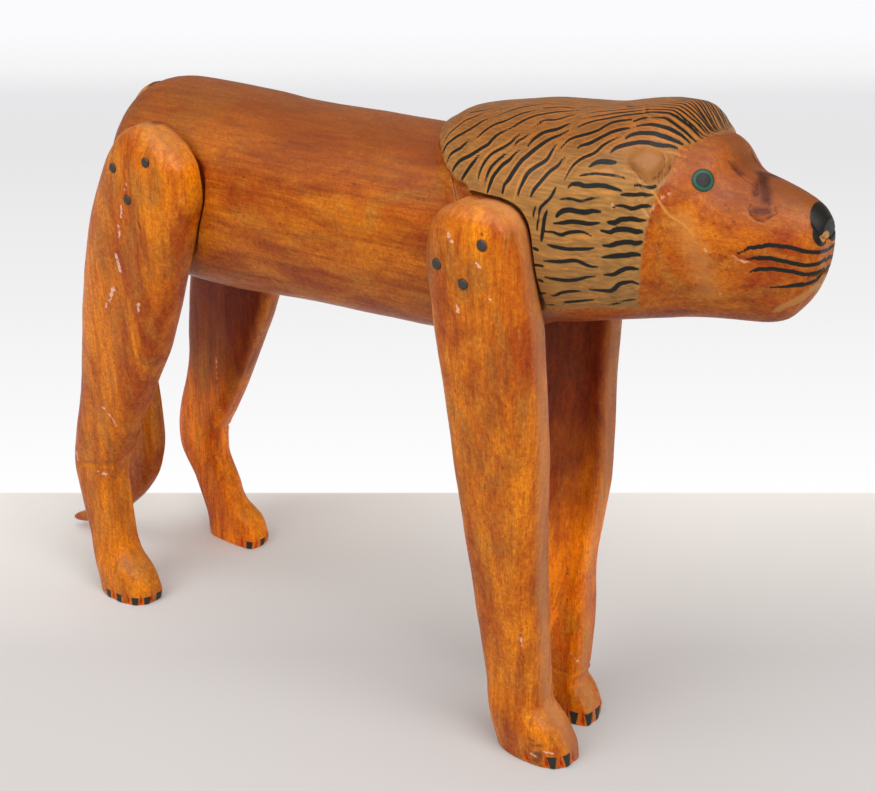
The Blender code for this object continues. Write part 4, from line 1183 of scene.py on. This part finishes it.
tail_path = []
for share, size in TAIL_ROOT:
    spot, facing = rump_spot(share)
    tail_path.append((*(spot + facing * (TAIL_CLEARANCE + TAIL_THICKNESS * size / 2)), size))
nail_height = rump_spot(TAIL_NAIL_SHARE)[0][1]
tail_rest = TAIL_CLEARANCE + TAIL_THICKNESS / 2
tail_path += [(-tail_rest - back * nail_height, up * nail_height, size) for back, up, size in TAIL_LINE]
steps = np.linalg.norm(np.diff(np.array(tail_path)[:, :2], axis=0), axis=1)
tail_travel = np.concatenate(([0.0], np.cumsum(steps))) / steps.sum()


def tail_point(share):
    """Middle line and size of the tail at a share of its length, and how much of it is tuft."""
    x, z, size = (smooth_line(list(zip(tail_travel, column)), share) for column in zip(*tail_path))
    count = np.interp(share, tail_travel, np.arange(len(tail_path))) / len(tail_path)
    return np.array((x, z)), size, float(clamp((count - TUFT_START_SHARE) / TUFT_FADE_SHARE))


def tail_section(share):
    """Points round the tail, from its front face over its left, rear and right sides."""
    up = min(1.0, max(0.0, share))
    middle, size, tuft = tail_point(up)
    ahead = tail_point(min(1.0, up + 0.01))[0] - tail_point(max(0.0, up - 0.01))[0]
    ahead /= np.linalg.norm(ahead)
    thick = (TAIL_THICKNESS * (1 - tuft) + TUFT_THICKNESS * tuft) * size / 2
    wide = TAIL_WIDTH / 2 * math.sqrt(min(1.0, size))
    angle = np.linspace(math.pi, 3 * math.pi, ROUND_POINTS + 1)
    out = power(np.cos(angle), TAIL_POWER) * thick
    ring = np.column_stack((RUMP_END + middle[0] + ahead[1] * out,
                            MIDDLE + power(np.sin(angle), TAIL_POWER) * wide, middle[1] - ahead[0] * out))
    return closed_end(ring, share)


tail_skin = make_skin(tail_section, TAIL_SECTIONS)
tail_net = wrapped_net(tail_skin, TAIL_NET, [])
shares, _, places, _ = net_places(tail_net)
relief = knife_marks(places, FACET_DEPTH * TAIL_FACETS, DENT_DEPTH)
relief *= fade(shares, 0.0, TAIL_SMOOTH_SHARE) * fade(1 - shares, 0.0, TAIL_SMOOTH_SHARE)
carve(tail_net, relief)
from_top = shares * tail_skin["along"][-1] * 1000
tail = finish_piece("carved_tail", tail_net, {"end": from_top - DARK_END, "root": from_top - PALE_ROOT})
tail_wood, tail_colour = varnished_wood("stained_varnished_tail_wood", (1, 1, 0.4), "#b85a06", "#ea8e1a")
paint_over(tail_wood, tail_colour, [
    ("root", 0.0, MIX, linear("#b8824c"), 12.0, 6.0, 0.75),
    ("end", 0.0, TINT, linear("#6e4a38"), 2.5, 1.5, 0.8),
])
tail.data.materials.append(tail_wood)
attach(tail, "root")
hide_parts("tail")

# Nails
# Forged iron nails about 8 mm across the head, gone dark brown and grey: three in each leg, hammered slightly
# below the wood, and one in the tail, which stands a little proud.
NAIL_HEAD_RADIUS = 0.0039
NAIL_HEAD_THICKNESS = 0.0018
NAIL_SHANK_RADIUS = 0.0017
NAIL_POINT = 0.005
NAIL_GAP = 0.0003
TAIL_NAIL_PROUD = 0.001
TAIL_NAIL_BITE = 0.022
HOLE_REACH = 0.008
NAIL_SIDES = 32


def nail_net(length, grow=0.0):
    """A nail along -Z with the top of its head at the origin; grown, it is the hole it goes in."""
    head, shank = NAIL_HEAD_RADIUS + grow, NAIL_SHANK_RADIUS + grow
    under = -NAIL_HEAD_THICKNESS - grow
    if grow:
        profile = [(0, HOLE_REACH), (head, HOLE_REACH), (head, under)]
    else:
        profile = [(0, -0.0001), (head * 0.45, -0.00012), (head * 0.78, -0.0003), (head * 0.95, -0.0007),
                   (head, -0.0011), (head * 0.97, under + 0.0002), (head * 0.9, under)]
    profile += [(shank, under), (shank, NAIL_POINT - length), (0, -length - grow)]
    net = bmesh.new()
    points = [net.verts.new((radius, 0, height)) for radius, height in profile]
    edges = [net.edges.new(pair) for pair in zip(points, points[1:])]
    bmesh.ops.spin(net, geom=points + edges, cent=(0, 0, 0), axis=(0, 0, 1), angle=math.tau,
                   steps=NAIL_SIDES, use_merge=True)
    bmesh.ops.remove_doubles(net, verts=net.verts, dist=0.00001)
    bmesh.ops.recalc_face_normals(net, faces=net.faces)
    return net


# Old forged iron shows almost no metal: a dull grey-brown oxide, with rust in blotches and fine pits
iron, tree, shader, place = new_material("dark_oxidised_nail_iron")
# the blotches are about 2 mm across
blotches = cloudy(tree, place, 0.002, detail=4.0, roughness=0.6).outputs[0]
oxide = lay(tree, MIX, ramp_of(tree, blotches, 0.45, 0.65), linear("#3d3a38"), linear("#4e3a2c"))
pits = add_node(tree, "ShaderNodeBump", inputs={
    "Height": blotches, "Strength": 0.5, "Distance": 0.0003}).outputs[0]
fill_inputs(tree, shader, {
    "Base Color": oxide, "Normal": pits, "Metallic": 0.35,
    "Roughness": ramp_of(tree, blotches, 0.3, 0.7, 0.38, 0.65)})

holes = {"log": [], "tail": []}
nail_nodes = [f"nail_{pair}_{side}_{number}" for pair in ("front", "hind") for side in ("right", "left")
              for number in (1, 2, 3)] + ["nail_tail"]
for node in nail_nodes:
    low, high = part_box(node)
    centre = (low + high) / 2
    if node == "nail_tail":
        spot, facing = rump_spot(TAIL_NAIL_SHARE)
        out = Vector((facing[0], 0, facing[1]))
        # it stands square to the rounded rump, so its box doesn't give its place
        on_rump = Vector((RUMP_END + spot[0], MIDDLE, spot[1]))
        top = on_rump + out * (TAIL_CLEARANCE + TAIL_THICKNESS * dict(TAIL_ROOT)[TAIL_NAIL_SHARE]
                               + TAIL_NAIL_PROUD + NAIL_GAP + NAIL_HEAD_THICKNESS)
        length = TAIL_NAIL_BITE + (top - on_rump).length
        target = "tail"
    else:
        out = Vector((0, math.copysign(1, centre.y), 0))
        top = Vector((centre.x, high.y if out.y > 0 else low.y, centre.z))
        length = high.y - low.y
        target = "_".join(node.split("_")[1:3])
    place = Matrix.Translation(top) @ out.to_track_quat("Z", "Y").to_matrix().to_4x4()
    for cut_piece in ("log", target):
        hole = nail_net(length, NAIL_GAP)
        bmesh.ops.transform(hole, verts=hole.verts, matrix=place)
        holes.setdefault(cut_piece, []).append(hole)
    net = nail_net(length)
    bmesh.ops.transform(net, verts=net.verts, matrix=place)
    nail = finish_piece("iron_" + node, net, {})
    nail.data.set_sharp_from_angle(angle=SHARP_ANGLE)
    nail.data.materials.append(iron)
    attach(nail, "root")
    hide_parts(node)

for name, nets in holes.items():
    cut_away({"log": log_carving, "tail": tail, **legs}[name], join_nets(nets))

# Floor and light
# The lion stands on pale grey matt paper between two soft studio lamps, the stronger on the right, with a
# third above it. The far part of the paper glows nearly white, painted light, and starts at a straight line
# behind it.
FLOOR_HALF = 8.0
# A point on that line, and the way from it to the near part
FAR_LINE = (-0.1435, 0.284)
FAR_NORMAL = (0.6157, -0.788)
floor_net = bmesh.new()
bmesh.ops.create_grid(floor_net, x_segments=1, y_segments=1, size=FLOOR_HALF)
floor = finish_piece("floor", floor_net, {})
paper, tree, shader, place = new_material("pale_paper")
across = add_node(tree, "ShaderNodeVectorMath", {"operation": "DOT_PRODUCT"}, {
    0: place, 1: (*FAR_NORMAL, 0.0)}).outputs["Value"]
edge = FAR_LINE[0] * FAR_NORMAL[0] + FAR_LINE[1] * FAR_NORMAL[1]
# the line between the parts is soft over 3 mm
near_share = ramp_of(tree, across, edge - 0.0015, edge + 0.0015)
# faint unevenness of the paper, 200 mm from patch to patch, and painted light: it is lighter towards the far
# part
tone = cloudy(tree, place, 0.2, detail=2.0).outputs[0]
front_share = ramp_of(tree, sum_of(tree, tone, 0.06, across), edge, edge + 0.35)
grey = lay(tree, MIX, front_share, linear("#e2dfdc"), linear("#bcbbbb"))
both = lay(tree, MIX, near_share, (0, 0, 0, 1), grey)
# the far part glows by itself, painted light nearly white, with a soft greyer band of painted shade from 0.6
# to 2 m behind its edge
far_tone = add_node(tree, "ShaderNodeValToRGB", inputs={0: ramp_of(tree, across, edge, edge - 3.0)})
ramp = far_tone.color_ramp
for share, colour in [(0.06, "#fbfafa"), (0.2, "#f2f1f2"), (0.5, "#e7e6e7"), (0.7, "#e7e6e8"),
                      (0.82, "#f5f5f6")]:
    ramp.elements.new(share).color = linear(colour)
ramp.elements[0].color, ramp.elements[-1].color = linear("#ffffff"), linear("#fbfbfd")
# the near paper glows a little too, painted light that fades towards the front
near_glow = ramp_of(tree, across, edge, edge + 0.7, 0.1, 0.0)
glow = add_node(tree, "ShaderNodeMix", {"data_type": "FLOAT"}, {
    0: near_share, 2: 1.0, 3: near_glow}).outputs[0]
fill_inputs(tree, shader, {
    "Base Color": both, "Emission Strength": glow, "Emission Color": far_tone.outputs[0],
    "Roughness": 0.75, "Specular IOR Level": 0.0})
floor.data.materials.append(paper)

# A little warm light comes from all round the studio
world = bpy.context.scene.world or bpy.data.worlds.new("studio")
bpy.context.scene.world = world
world.use_nodes = True
world.node_tree.nodes["Background"].inputs["Color"].default_value = linear("#fff3e6")
world.node_tree.nodes["Background"].inputs["Strength"].default_value = 0.38

# Each lamp's name, azimuth, elevation, distance from where all are aimed, width and power
LAMPS = [("left_softbox", -12, 42, 2.3, 1.9, 28), ("right_softbox", 68, 42, 2.3, 1.9, 38),
         ("top_softbox", 38, 82, 2.2, 2.2, 20)]
LAMP_AIM = Vector((0.02, 0, 0.3))


def direction_to(azimuth, elevation):
    """The direction towards a lamp or camera that stands at an azimuth and elevation in degrees."""
    a, e = math.radians(azimuth), math.radians(elevation)
    return Vector((math.sin(a) * math.cos(e), -math.cos(a) * math.cos(e), math.sin(e)))


for name, azimuth, elevation, distance, size, watts in LAMPS:
    lamp = bpy.data.lights.new(name, "AREA")
    lamp.shape = "DISK"
    lamp.size = size
    lamp.energy = watts
    stand = bpy.data.objects.new(name, lamp)
    towards = direction_to(azimuth, elevation)
    stand.location = LAMP_AIM + towards * distance
    stand.rotation_euler = (-towards).to_track_quat("-Z", "Y").to_euler()
    bpy.context.collection.objects.link(stand)

# The camera stands where the photograph was taken; its focal length is in widths of the picture
PICTURE_WIDTH = 875
FOCAL_LENGTH = 1550 / PICTURE_WIDTH
SENSOR_WIDTH = 36
CAMERA_PLACE = (0.7698, -0.8862, 0.7207)
CAMERA_AZIMUTH = 38
CAMERA_ELEVATION = 22.3
camera_data = bpy.data.cameras.new("camera")
camera_data.sensor_width = SENSOR_WIDTH
camera_data.lens = FOCAL_LENGTH * SENSOR_WIDTH
camera = bpy.data.objects.new("camera", camera_data)
camera.location = CAMERA_PLACE
camera.rotation_euler = direction_to(CAMERA_AZIMUTH, CAMERA_ELEVATION).to_track_quat("Z", "Y").to_euler()
bpy.context.collection.objects.link(camera)
bpy.context.scene.camera = camera
bpy.context.scene.view_settings.view_transform = "Standard"
